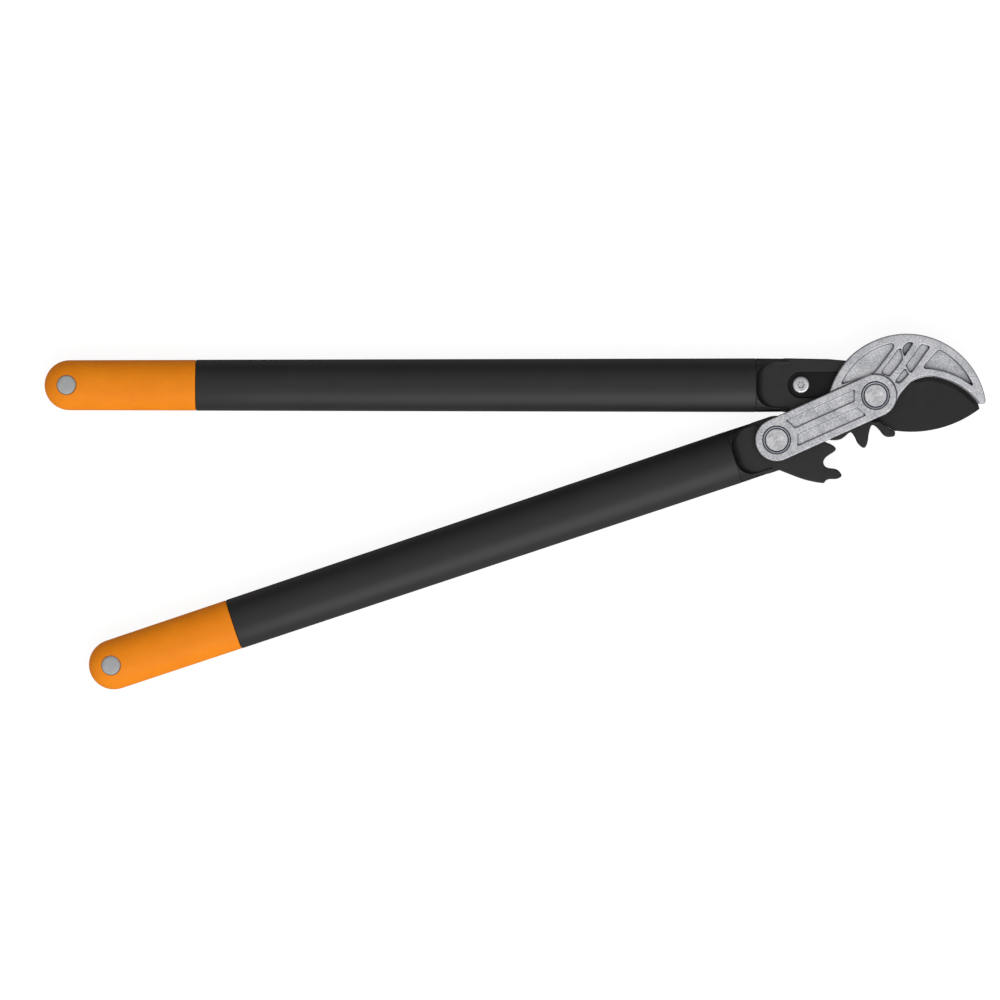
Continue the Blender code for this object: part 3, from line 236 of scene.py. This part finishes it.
class Tree:
    """Shorthand for building one material's nodes. A value is a number, a colour or an output."""

    def __init__(self, name):
        self.mat = bpy.data.materials.new(name)
        self.mat.use_nodes = True
        self.nodes = self.mat.node_tree.nodes
        self.links = self.mat.node_tree.links
        self.shader = self.nodes["Principled BSDF"]
        here = self.add("ShaderNodeTexCoord")
        self.place = here.outputs["Object"]
        self.facing = here.outputs["Normal"]

    def add(self, kind, **settings):
        """A node with its settings and input values."""
        node = self.nodes.new(kind)
        for key, value in settings.items():
            if hasattr(node, key):
                setattr(node, key, value)
            else:
                self.feed(node.inputs[key.replace("_", " ")], value)
        return node

    def feed(self, target, value):
        """Link an output to an input, or set the input itself."""
        if isinstance(value, bpy.types.NodeSocket):
            self.links.new(value, target)
        elif isinstance(value, tuple) and target.type == "RGBA":
            target.default_value = (*value, 1)
        else:
            target.default_value = value

    def calc(self, operation, *values):
        """One sum over values."""
        node = self.add("ShaderNodeMath", operation=operation)
        for target, value in zip(node.inputs, values):
            self.feed(target, value)
        return node.outputs[0]

    def split(self, vector, name):
        """One coordinate of a vector."""
        node = self.add("ShaderNodeSeparateXYZ")
        self.feed(node.inputs[0], vector)
        return node.outputs[name]

    def remap(self, value, **limits):
        """The value carried from one range to another, each from 0 to 1 where not given."""
        node = self.add("ShaderNodeMapRange", **limits)
        self.feed(node.inputs["Value"], value)
        return node.outputs["Result"]

    def span(self, value, low, high):
        """The value spread over a range."""
        return self.remap(value, To_Min=low, To_Max=high)

    def noise(self, size, detail=3.0, roughness=0.6):
        """Noise whose grains are about this size in metres."""
        node = self.add("ShaderNodeTexNoise", Scale=1 / size, Detail=detail, Roughness=roughness)
        self.feed(node.inputs["Vector"], self.place)
        return node.outputs["Fac"]

    def ramp(self, value, stops):
        """A colour ramp over a value, from (position, colour) stops."""
        node = self.add("ShaderNodeValToRGB")
        set_stops(node.color_ramp, stops)
        self.feed(node.inputs["Fac"], value)
        return node.outputs["Color"]

    def tones(self, value, dark, light, low=NOISE_LOW, high=NOISE_HIGH):
        """Two tones over a noise, the first up to low and the second from high."""
        return self.ramp(value, [(low, dark), (high, light)])

    def mix(self, share, first, second):
        """Two colours mixed by a share."""
        node = self.add("ShaderNodeMix", data_type="RGBA")
        for index, value in ((0, share), (6, first), (7, second)):
            self.feed(node.inputs[index], value)
        return node.outputs[2]

    def bump(self, height, depth, strength=1.0, base=None):
        """A bump of this depth in metres, on top of another."""
        node = self.add("ShaderNodeBump", Distance=depth, Strength=strength)
        self.feed(node.inputs["Height"], height)
        if base is not None:
            self.feed(node.inputs["Normal"], base)
        return node.outputs["Normal"]

    def wear_and_highlight(self, colour, bright, low, high):
        """The colour with its sharp outward edges rubbed to another, partly wear and partly a
        painted highlight.
        """
        edge = self.add("ShaderNodeNewGeometry").outputs["Pointiness"]
        share = self.remap(edge, From_Min=low, From_Max=high, To_Max=WEAR_AND_HIGHLIGHT_SHARE)
        return self.mix(share, colour, bright)

    def painted_crevice_shade(self, colour, dark, reach, low, high):
        """The colour darkened by painted shade in inward corners, from openness low (all dark) to
        high (none).
        """
        sky = self.add("ShaderNodeAmbientOcclusion", samples=CREVICE_SAMPLES, only_local=True,
                       Distance=reach)
        share = self.remap(sky.outputs["AO"], From_Min=low, From_Max=high)
        return self.mix(share, dark, colour)

    def rounding(self, colour, dark, amount):
        """The colour with the rounded turns between flats and walls darkened by painted shade."""
        normal = self.add("ShaderNodeNewGeometry").outputs["Normal"]
        tilt = self.calc("ABSOLUTE", self.split(normal, "Z"))
        turn = self.band(tilt, TURN_TILT, TURN_HALF, TURN_SOFT)
        return self.mix(self.calc("MULTIPLY", turn, amount), colour, dark)

    def grazing_gloss(self, roughness):
        """A roughness that rises to full where the surface turns away."""
        edge = self.add("ShaderNodeLayerWeight", Blend=GRAZING_BLEND)
        return self.remap(edge.outputs["Facing"], To_Min=roughness)

    def axis(self, name):
        """One coordinate of the piece's own frame."""
        return self.split(self.place, name)

    def cove_shade_share(self, flats):
        """How much a surface faces the jaw, off the flat parts: the coves where collars end, which
        get painted shade.
        """
        lean = self.remap(self.split(self.facing, "X"), From_Min=COVE_START, From_Max=COVE_FULL,
                          To_Max=COVE_SHADE_SHARE)
        return self.calc("MULTIPLY", lean, self.calc("SUBTRACT", 1.0, flats))

    def from_axis(self):
        """The distance from the piece's own Z axis."""
        flat = self.add("ShaderNodeVectorMath", operation="MULTIPLY")
        self.feed(flat.inputs[0], self.place)
        self.feed(flat.inputs[1], (1, 1, 0))
        length = self.add("ShaderNodeVectorMath", operation="LENGTH")
        self.feed(length.inputs[0], flat.outputs["Vector"])
        return length.outputs["Value"]

    def band(self, value, middle, half, soft):
        """1 where the value is within half of the middle, falling to 0 over a soft edge."""
        off = self.calc("ABSOLUTE", self.calc("SUBTRACT", value, middle))
        return self.remap(off, From_Min=half, From_Max=half + soft, To_Min=1.0, To_Max=0.0)

    def surface(self, colour, roughness, normal=None, **fixed):
        """Feed the Principled shader, with constants set on its own sockets."""
        inputs = self.shader.inputs
        self.feed(inputs["Base Color"], colour)
        self.feed(inputs["Roughness"], roughness)
        if normal is not None:
            self.feed(inputs["Normal"], normal)
        for key, value in fixed.items():
            self.feed(inputs[key.replace("_", " ")], value)
        return self.mat


# Materials

def tube_black():
    """Satin black shaft with a faint orange-peel skin."""
    t = Tree("tube_black")
    cloud = t.noise(size=30 * MM, detail=2)
    colour = t.tones(cloud, dark=(0.0105, 0.0105, 0.0112), light=(0.0135, 0.0135, 0.0148))
    skin = t.bump(t.noise(size=1.4 * MM, detail=2), depth=0.010 * MM, strength=0.5)
    gloss = t.grazing_gloss(t.span(cloud, low=0.36, high=0.42))
    return t.surface(colour, gloss, skin, Specular_IOR_Level=0.34)


def nylon_black():
    """Black glass-filled moulding: grained plates, smoother collars, painted shade in recesses and
    coves.

    The colour and the tint of its sheen are darkened as painted shade in the same places and in
    inward corners; sharp edges are lightened by rubbed wear and a painted highlight.
    """
    t = Tree("nylon_black")
    height = t.axis("Z")
    # Masks for painted shade: recess floors and the coves where collars end
    recess_shade = t.band(height, MIDDLE, RECESS_HEIGHT, RECESS_SOFT)
    plates = t.band(height, MIDDLE, PLATE_HEIGHT, PLATE_SOFT)
    cove_shade = t.cove_shade_share(t.band(height, MIDDLE, PLATE_HEIGHT, COVE_FADE))
    corners = {"reach": 3.2 * MM, "low": 0.74, "high": 0.95}

    # Painted shade: the sheen's tint darkened in recesses, coves and inward corners
    sheen = t.mix(recess_shade, grey(1), grey(RECESS_SHADE_SHEEN))
    sheen = t.mix(cove_shade, sheen, grey(COVE_SHADE_SHEEN))
    sheen = t.painted_crevice_shade(sheen, grey(CORNER_SHADE_SHEEN), **corners)
    t.feed(t.shader.inputs["Specular Tint"], sheen)

    colour = t.tones(t.noise(size=12 * MM, detail=4), dark=(0.0100, 0.0100, 0.0102),
                     light=(0.0140, 0.0140, 0.0144))
    # Painted shade: the colour darkened in recesses, coves and inward corners; edges lightened by
    # wear and a painted highlight
    colour = t.mix(recess_shade, colour, RECESS_SHADE_BLACK)
    colour = t.wear_and_highlight(colour, bright=(0.022, 0.022, 0.023), low=0.53, high=0.62)
    colour = t.mix(cove_shade, colour, COVE_SHADE_BLACK)
    colour = t.painted_crevice_shade(colour, CORNER_SHADE_BLACK, **corners)

    grain = t.noise(size=0.35 * MM, detail=3, roughness=0.7)
    grain = t.bump(t.mix(plates, grey(FLAT_GRAIN), grain), depth=0.03 * MM, strength=0.5)
    gloss = t.span(t.noise(size=2 * MM), low=0.44, high=0.54)
    gloss = t.mix(plates, grey(COLLAR_GLOSS), gloss)
    return t.surface(colour, t.grazing_gloss(gloss), grain, Specular_IOR_Level=0.31)


def grip_orange():
    """Orange moulded grip with a fine spark-eroded grain."""
    t = Tree("grip_orange")
    colour = t.tones(t.noise(size=18 * MM, detail=4), dark=(0.84, 0.23, 0.002),
                     light=(0.90, 0.26, 0.003))
    grain = t.noise(size=0.45 * MM, detail=3, roughness=0.7)
    grain = t.bump(grain, depth=0.03 * MM, strength=0.5)
    gloss = t.grazing_gloss(t.span(t.noise(size=1.5 * MM), low=0.46, high=0.56))
    return t.surface(colour, gloss, grain, Specular_IOR_Level=0.2)


def plug_grey():
    """Light grey moulded plug."""
    t = Tree("plug_grey")
    colour = t.tones(t.noise(size=3 * MM, detail=4), dark=(0.33, 0.34, 0.35),
                     light=(0.40, 0.41, 0.41))
    grain = t.bump(t.noise(size=0.4 * MM, detail=3), depth=0.02 * MM, strength=0.5)
    return t.surface(colour, roughness=0.5, normal=grain)


def blade_coated():
    """Dark coated blade with a faint grain."""
    t = Tree("blade_coated")
    cloud = t.noise(size=7 * MM, detail=5)
    colour = t.tones(cloud, dark=(0.0135, 0.0135, 0.0137), light=(0.0185, 0.0185, 0.0187))
    grain = t.bump(t.noise(size=0.5 * MM, detail=4), depth=0.01 * MM, strength=0.6)
    gloss = t.span(cloud, low=0.5, high=0.6)
    return t.surface(colour, gloss, grain, Specular_IOR_Level=0.23)


def cast_alloy():
    """Grey die casting with a speckled skin, and painted shade in inward corners and on rounded
    turns.
    """
    t = Tree("cast_alloy")
    speck = t.noise(size=1.2 * MM, detail=3, roughness=0.8)
    cloud = t.noise(size=13 * MM, detail=3)
    clouds = t.tones(cloud, dark=(0.30, 0.305, 0.33), light=(0.74, 0.74, 0.75), low=0.35,
                     high=0.65)
    colour = t.mix(ALLOY_CLOUDS, t.ramp(speck, ALLOY_SPECKS), clouds)
    # Painted shade: darker pocket floors near walls, rounded turns and inward corners
    colour = t.painted_crevice_shade(colour, dark=(0.32, 0.325, 0.35), reach=6.0 * MM, low=0.48, high=0.80)
    colour = t.rounding(colour, dark=(0.05, 0.055, 0.07), amount=0.5)
    colour = t.painted_crevice_shade(colour, dark=(0.012, 0.015, 0.025), reach=1.5 * MM, low=0.68, high=0.88)
    skin = t.bump(speck, depth=0.10 * MM, strength=0.6)
    skin = t.bump(t.noise(size=3.5 * MM, detail=3), depth=0.12 * MM, strength=0.35, base=skin)
    return t.surface(colour, t.span(speck, low=0.38, high=0.54), skin, Metallic=0.5)


def turned_steel():
    """Steel with fine turning rings about each piece's own axis, and painted shade on its chamfer
    ring, groove, rim and inward corners.
    """
    t = Tree("turned_steel")
    rings = t.add("ShaderNodeTexWave", wave_type="RINGS", rings_direction="Z",
                  Scale=1 / TURNING_RINGS, Distortion=0.6, Detail=2.0, Vector=t.place)
    colour = t.tones(t.noise(size=1.6 * MM, detail=5), dark=(0.37, 0.37, 0.395),
                     light=(0.65, 0.65, 0.665))
    out = t.from_axis()
    # Painted shade on the chamfer ring, in the groove and at the rim
    for middle, half, dark in STEEL_SHADE_BANDS:
        colour = t.mix(t.band(out, middle, half, STEEL_SHADE_SOFT), colour, dark)
    # Painted shade in the socket and inward corners
    colour = t.painted_crevice_shade(colour, dark=(0.05, 0.055, 0.065), reach=0.8 * MM, low=0.4, high=0.9)
    skin = t.bump(rings.outputs["Fac"], depth=0.03 * MM, strength=0.4)
    tangent = t.add("ShaderNodeTangent", direction_type="RADIAL", axis="Z")
    gloss = t.span(rings.outputs["Fac"], low=0.26, high=0.36)
    return t.surface(colour, gloss, skin, Metallic=0.85, Anisotropic=0.85,
                     Tangent=tangent.outputs[0])


def bush_polymer():
    """Pale low-friction polymer."""
    t = Tree("bush_polymer")
    colour = t.tones(t.noise(size=3 * MM), dark=(0.6, 0.6, 0.56), light=(0.68, 0.68, 0.64))
    grain = t.bump(t.noise(size=0.5 * MM), depth=0.02 * MM, strength=0.4)
    return t.surface(colour, roughness=0.5, normal=grain)


LOOKS = {
    "black_tube": tube_black(), "black_nylon": nylon_black(), "orange_grip": grip_orange(),
    "grey_plug": plug_grey(), "coated_blade": blade_coated(), "cast_alloy": cast_alloy(),
    "turned_steel": turned_steel(), "bush_polymer": bush_polymer(),
}
SLOTS = {row["node"]: row["material_slot"] for row in frame["record"]["subparts"]}
BODIES = {node: body for body, members in frame["record"]["behaviour"]["bodies"].items()
          for node in members}


# Objects

def standing(x, y):
    """The place of an upright piece at a point of the tool's middle plane."""
    return Matrix.Translation((x, y, MIDDLE))


def new_object(name, data, place=None):
    """An object in the scene, at a place where one is given."""
    obj = bpy.data.objects.new(name, data)
    if place is not None:
        obj.matrix_world = place
    bpy.context.scene.collection.objects.link(obj)
    return obj


def dress(obj, slot):
    """Give a piece the material of a slot."""
    obj.data.materials.clear()
    obj.data.materials.append(LOOKS[slot])


def stand_in(name, mesh, node, place=None):
    """A finished piece in the place of a CAD node: it rides, looks and counts as that node."""
    obj = new_object(name, mesh, place)
    dress(obj, SLOTS[node])
    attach(obj, BODIES[node])
    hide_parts(node)
    return obj


def bake_modifiers(obj):
    """Put the mesh that the modifiers make in the place of the piece's own."""
    bpy.context.view_layer.update()
    depsgraph = bpy.context.evaluated_depsgraph_get()
    mesh = bpy.data.meshes.new_from_object(obj.evaluated_get(depsgraph))
    obj.modifiers.clear()
    obj.data = mesh
    mesh.name = obj.name
    mesh.shade_smooth()


# Meshes

def around(count):
    """Angles spread evenly over a full turn."""
    return [2 * math.pi * i / count for i in range(count)]


def mesh_of(name, rings, closed=False, tips=None):
    """A skin over rings of points: shut on itself when closed, and capped at both ends when not.

    Each cap runs to a tip, which is the middle of its ring where none is given.
    """
    bm = bmesh.new()
    loops = [[bm.verts.new(point) for point in ring] for ring in rings]
    pairs = list(zip(loops, loops[1:]))
    if closed:
        pairs.append((loops[-1], loops[0]))
    for near, far in pairs:
        for i in range(len(near)):
            j = (i + 1) % len(near)
            bm.faces.new((near[i], near[j], far[j], far[i]))
    if not closed:
        ends = (loops[0], loops[-1])
        if tips is None:
            tips = [sum((v.co for v in loop), Vector()) / len(loop) for loop in ends]
        for loop, tip in zip(ends, tips):
            centre = bm.verts.new(tip)
            for i in range(len(loop)):
                bm.faces.new((loop[i], loop[(i + 1) % len(loop)], centre))
    bmesh.ops.recalc_face_normals(bm, faces=bm.faces)
    mesh = bpy.data.meshes.new(name)
    bm.to_mesh(mesh)
    bm.free()
    mesh.shade_smooth()
    mesh.set_sharp_from_angle(angle=SHARP_ANGLE)
    return mesh


def turned(name, profile):
    """A mesh of (radius, height) points turned about the Z axis, both ends on the axis."""
    rings = [[(r * math.cos(a), r * math.sin(a), z) for a in around(TURNED_SIDES)]
             for r, z in profile if r > 0]
    return mesh_of(name, rings, tips=[(0, 0, profile[0][1]), (0, 0, profile[-1][1])])


# Moulded and cast pieces

def moulded(node, voxel, passes, keep):
    """A CAD piece with its edges rounded as its mould leaves them."""
    obj = stand_in(node + "_skin", nodes[node].data.copy(), node)
    obj.modifiers.new("weld", "WELD").merge_threshold = WELD_REACH
    even = obj.modifiers.new("even", "REMESH")
    even.mode = "VOXEL"
    even.voxel_size = voxel
    soften = obj.modifiers.new("soften", "SMOOTH")
    soften.factor = SMOOTHING
    soften.iterations = passes
    obj.modifiers.new("thin", "DECIMATE").ratio = keep
    bake_modifiers(obj)
    obj.modifiers.new("even_shading", "WEIGHTED_NORMAL").keep_sharp = True
    dress(obj, SLOTS[node])


# Oval handles

def oval_ring(x, centre_y, half_width, half_thick):
    """One oval section of a handle, square to its axis."""
    ring = []
    for angle in around(OVAL_SIDES):
        c, s = math.cos(angle), math.sin(angle)
        y = half_width * math.copysign(abs(c) ** (2 / OVAL_POWER), c)
        z = half_thick * math.copysign(abs(s) ** (2 / OVAL_POWER), s)
        ring.append((x, centre_y + y, z))
    return ring


class Handle:
    """One handle in the frame of its own pivot, with the sizes of the CAD model."""

    def __init__(self, side, pivot, turn, reach, shoulder, rise):
        self.side = side
        self.place = standing(pivot.x, pivot.y) @ Matrix.Rotation(math.radians(turn), 4, "Z")
        self.end = -reach
        self.shoulder = -shoulder
        self.rise = rise
        self.grip_line = self.end + GRIP_LENGTH
        plug_x = self.end + PLUG_FROM_END
        self.plug_place = self.place @ Matrix.Translation((plug_x, rise, 0))
        self.core_start = plug_x + PLUG_RADIUS + CORE_STOP

    def half_width(self, x):
        """Half the width at a place along the handle, which widens to the head."""
        share = (x - self.end) / (self.shoulder - self.end)
        return END_HALF_WIDTH + (HEAD_HALF_WIDTH - END_HALF_WIDTH) * min(max(share, 0), 1)

    def section(self, x, inset=0.0):
        """An oval section at x, drawn in by an inset all round."""
        return oval_ring(x, self.rise, self.half_width(x) - inset, HANDLE_HALF_THICK - inset)

    def lip(self, x, towards, radius, inset=0.0):
        """Sections round an edge at x, whose face looks along +X (1) or -X (-1)."""
        rings = []
        for i in range(LIP_STEPS + 1):
            angle = math.pi / 2 * i / LIP_STEPS
            rings.append(self.section(x - towards * radius * (1 - math.sin(angle)),
                                      inset + radius * (1 - math.cos(angle))))
        return rings


def handle_tube(handle):
    """The shaft: a hollow oval with softly rounded ends and a core inside the grip."""
    seam = handle.grip_line + SEAT_GAP
    core = GRIP_WALL + SEAT_GAP
    start = handle.core_start
    length = handle.shoulder - seam
    rings = [handle.section(start, core), handle.section(seam, core)]
    rings += handle.lip(seam, -1, TUBE_LIP)[::-1]
    rings += [handle.section(seam + length * i / TUBE_RINGS) for i in range(1, TUBE_RINGS)]
    rings += handle.lip(handle.shoulder + TUBE_BUTT, 1, TUBE_END_LIP)
    rings += [handle.section(handle.shoulder, TUBE_WALL),
              handle.section(seam + 2 * TUBE_WALL, TUBE_WALL),
              handle.section(seam + TUBE_WALL, core + TUBE_WALL),
              handle.section(start, core + TUBE_WALL)]
    node = handle.side + "_handle_tube"
    mesh = mesh_of(node + "_skin", rings, closed=True)
    mesh.transform(handle.place)
    stand_in(node + "_skin", mesh, node)


def handle_grip(handle):
    """The grip: a soft lip at its seam, a full round end and a hole for the plug."""
    radius = handle.half_width(handle.end) - GRIP_INSET
    thick = HANDLE_HALF_THICK - GRIP_INSET
    round_end = handle.end + GRIP_INSET
    rings = []
    for i in range(1, DOME_STEPS):
        angle = math.pi / 2 * i / DOME_STEPS
        rings.append(oval_ring(round_end + radius * (1 - math.cos(angle)), handle.rise,
                               radius * math.sin(angle), thick * math.sin(angle) ** DOME_POWER))
    straight = handle.grip_line - round_end - radius
    rings += [handle.section(round_end + radius + straight * i / GRIP_RINGS, GRIP_INSET)
              for i in range(GRIP_RINGS)]
    rings += handle.lip(handle.grip_line, 1, GRIP_LIP, GRIP_INSET)
    rings += [handle.section(handle.grip_line, GRIP_WALL),
              handle.section(handle.core_start, GRIP_WALL)]
    name = handle.side + "_grip_skin"
    mesh = mesh_of(name, rings)
    mesh.transform(handle.place)
    obj = stand_in(name, mesh, handle.side + "_grip")

    hole = PLUG_RADIUS + SEAT_GAP
    reach = 2 * HANDLE_HALF_THICK
    drill = turned(name + "_hole", [(0, reach), (hole, reach), (hole, -reach), (0, -reach)])
    tool = new_object(name + "_hole", drill, handle.plug_place)
    step = obj.modifiers.new("hole", "BOOLEAN")
    step.operation = "DIFFERENCE"
    step.solver = "EXACT"
    step.object = tool
    bake_modifiers(obj)
    obj.data.set_sharp_from_angle(angle=SHARP_ANGLE)
    bpy.data.objects.remove(tool, do_unlink=True)
    dress(obj, "orange_grip")


def grip_plug(handle):
    """The plug: a straight pin whose two faces swell softly to the grip's crown."""
    face = HANDLE_HALF_THICK - PLUG_SUNK
    half = [(share * (PLUG_RADIUS + PLUG_SWELL), face - drop * MM) for share, drop in PLUG_CROWN]
    profile = half + [(radius, -height) for radius, height in reversed(half)]
    node = handle.side + "_grip_plug"
    stand_in(node + "_skin", turned(node + "_skin", profile), node, handle.plug_place)


# Pins, nuts and the screw

def head_profile():
    """A pin's face with fine turning grooves, its ring groove and its rounded rim, to the seat."""
    profile = [(0, HEAD_TOP - FACE_GROOVE)]
    count = int(PIN_FACE_RADIUS / FACE_PITCH)
    for i in range(1, 2 * count):
        groove = FACE_GROOVE if i % 2 == 0 else 0
        profile.append((0.5 * FACE_PITCH * i, HEAD_TOP - groove))
    for radius, edge in ((PIN_FACE_RADIUS, FACE_EDGE), (PIN_HEAD_RADIUS, HEAD_EDGE)):
        profile += [(radius + out * MM, HEAD_TOP - drop * MM) for out, drop in edge]
    return profile + [(PIN_HEAD_RADIUS, HEAD_SEAT)]


def pivot_pieces(end, pivot):
    """The pin and the sleeve nut of one pivot."""
    head = head_profile()
    place = standing(pivot.x, pivot.y)
    node = end + "_pivot_pin"
    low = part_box(node)[0].z - MIDDLE
    shank = [(PIN_RADIUS, HEAD_SEAT), (PIN_RADIUS, -LINK_LOW), (PIN_THREAD_RADIUS, -LINK_LOW),
             (PIN_THREAD_RADIUS, low), (0, low)]
    stand_in(node + "_skin", turned(node + "_skin", head + shank), node, place)
    node = end + "_pivot_nut"
    rear = [(radius, -height) for radius, height in head]
    bore = PIN_THREAD_RADIUS + SEAT_GAP
    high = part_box(node)[1].z - MIDDLE
    cover = low - SEAT_GAP
    sleeve = [(PIN_RADIUS, -HEAD_SEAT), (PIN_RADIUS, high), (bore, high), (bore, cover),
              (0, cover)]
    stand_in(node + "_skin", turned(node + "_skin", rear + sleeve), node, place)


def tang_screw():
    """The pan-head screw: a dome with a countersunk six-lobe socket."""
    node = "tang_screw"
    low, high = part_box(node)
    top = high.z - MIDDLE
    angles = around(TURNED_SIDES)
    rings = []
    for share, drop in SOCKET_WALL:
        radii = [share * (SOCKET_RADIUS + SOCKET_LOBE * math.cos(SOCKET_LOBES * a))
                 for a in angles]
        rings.append([(r * math.cos(a), r * math.sin(a), top - drop * MM)
                      for r, a in zip(radii, angles)])
    outside = [(share * SCREW_HEAD_RADIUS, top - drop * MM) for share, drop in SCREW_DOME]
    outside += [(SCREW_RADIUS, top - SCREW_HEAD_HEIGHT), (SCREW_RADIUS, low.z - MIDDLE)]
    rings += [[(r * math.cos(a), r * math.sin(a), z) for a in angles] for r, z in outside]
    place = standing((low.x + high.x) / 2, (low.y + high.y) / 2)
    stand_in(node + "_skin", mesh_of(node + "_skin", rings), node, place)


def tang_nut():
    """The round sleeve nut behind the tang, with a softly chamfered face."""
    node = "tang_nut"
    low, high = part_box(node)
    bottom, inner = low.z - MIDDLE, high.z - MIDDLE
    seat = bottom + NUT_HEAD_HEIGHT
    bore = SCREW_RADIUS + SEAT_GAP
    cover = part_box("tang_screw")[0].z - MIDDLE - SEAT_GAP
    radius = SCREW_HEAD_RADIUS
    profile = [(0, bottom)] + [(share * radius, bottom + rise * MM) for share, rise in NUT_EDGE]
    profile += [(radius, seat), (NUT_SLEEVE_RADIUS, seat), (NUT_SLEEVE_RADIUS, inner),
                (bore, inner), (bore, cover), (0, cover)]
    place = standing((low.x + high.x) / 2, (low.y + high.y) / 2)
    stand_in(node + "_skin", turned(node + "_skin", profile), node, place)


for name, obj in nodes.items():
    dress(obj, SLOTS[name])
for node, voxel, passes, keep in MOULDED:
    moulded(node, voxel, passes, keep)
for handle in (
    Handle("upper", BLADE_PIVOT, 0.0, UPPER_REACH, UPPER_SHOULDER, UPPER_RISE),
    Handle("lower", GEAR_PIVOT, HANDLE_SPREAD, LOWER_REACH, LOWER_SHOULDER, LOWER_RISE),
):
    handle_tube(handle)
    handle_grip(handle)
    grip_plug(handle)
pivot_pieces("blade", BLADE_PIVOT)
pivot_pieces("gear", GEAR_PIVOT)
tang_screw()
tang_nut()


# Floor, light and camera

def floor():
    """A plain pale floor that the camera sees as nearly white, with the tool's shadow.

    Its glow shows to the camera, also through clear pieces, and hardly in reflections, so that
    the tool's edges stay dark as in the photograph.
    """
    half = FLOOR_HALF
    mesh = bpy.data.meshes.new("floor")
    mesh.from_pydata([(-half, -half, 0), (half, -half, 0), (half, half, 0), (-half, half, 0)],
                     [], [(0, 1, 2, 3)])
    obj = new_object("floor", mesh, Matrix.Translation((0, 0, -FLOOR_DROP)))
    t = Tree("floor_pale")
    clouds = t.noise(size=FLOOR_CLOUDS, detail=2)
    t.surface(t.tones(clouds, grey(FLOOR_DARK), grey(FLOOR_LIGHT)), FLOOR_ROUGHNESS)
    path = t.add("ShaderNodeLightPath").outputs
    mirrored = t.calc("MULTIPLY", path["Is Glossy Ray"], FLOOR_MIRRORED_GLOW)
    seen = t.calc("ADD", path["Is Camera Ray"], path["Is Transmission Ray"])
    glow = t.add("ShaderNodeEmission", Strength=FLOOR_GLOW)
    mix = t.add("ShaderNodeMixShader")
    t.feed(mix.inputs[0], t.calc("MULTIPLY_ADD", seen, FLOOR_SEEN_GLOW, mirrored))
    t.feed(mix.inputs[1], t.shader.outputs[0])
    t.feed(mix.inputs[2], glow.outputs[0])
    t.feed(t.nodes["Material Output"].inputs["Surface"], mix.outputs[0])
    mesh.materials.append(t.mat)


def world():
    """A studio that is dark at the horizon and brightest towards the near side, high up."""
    scene_world = bpy.data.worlds.new("studio")
    bpy.context.scene.world = scene_world
    scene_world.use_nodes = True
    tree = scene_world.node_tree
    background = tree.nodes["Background"]
    direction = tree.nodes.new("ShaderNodeTexCoord").outputs["Generated"]
    facing = tree.nodes.new("ShaderNodeVectorMath")
    facing.operation = "DOT_PRODUCT"
    facing.inputs[1].default_value = SKY_PEAK
    tree.links.new(direction, facing.inputs[0])
    band = tree.nodes.new("ShaderNodeValToRGB")
    band.color_ramp.interpolation = "EASE"
    set_stops(band.color_ramp, [(position, grey(level)) for position, level in SKY_LEVELS])
    tree.links.new(facing.outputs["Value"], band.inputs["Fac"])
    tree.links.new(band.outputs["Color"], background.inputs["Color"])
    background.inputs["Strength"].default_value = SKY_STRENGTH


def key_light():
    """A soft lamp over the near side."""
    data = bpy.data.lights.new("key", "AREA")
    data.shape = "RECTANGLE"
    data.size, data.size_y = KEY_SIZE
    data.energy = KEY_WATTS
    obj = new_object("key", data)
    obj.location = KEY_PLACE
    towards = Vector(KEY_AIM) - Vector(KEY_PLACE)
    obj.rotation_euler = towards.to_track_quat("-Z", "Y").to_euler()


def camera():
    """The photograph's view, straight down."""
    data = bpy.data.cameras.new("camera")
    across = PICTURE_SIZE * PIXEL
    data.sensor_width = SENSOR_WIDTH
    data.lens = data.sensor_width * CAMERA_DISTANCE / across
    data.clip_end = CLIP_END
    obj = new_object("camera", data)
    x = BLADE_PIVOT.x + (PICTURE_SIZE / 2 - BLADE_PIVOT_PIXEL[0]) * PIXEL
    y = BLADE_PIVOT.y - (PICTURE_SIZE / 2 - BLADE_PIVOT_PIXEL[1]) * PIXEL
    obj.location = (x, y, MIDDLE + CAMERA_DISTANCE)
    bpy.context.scene.camera = obj


floor()
world()
key_light()
camera()
bpy.context.scene.view_settings.view_transform = "Standard"
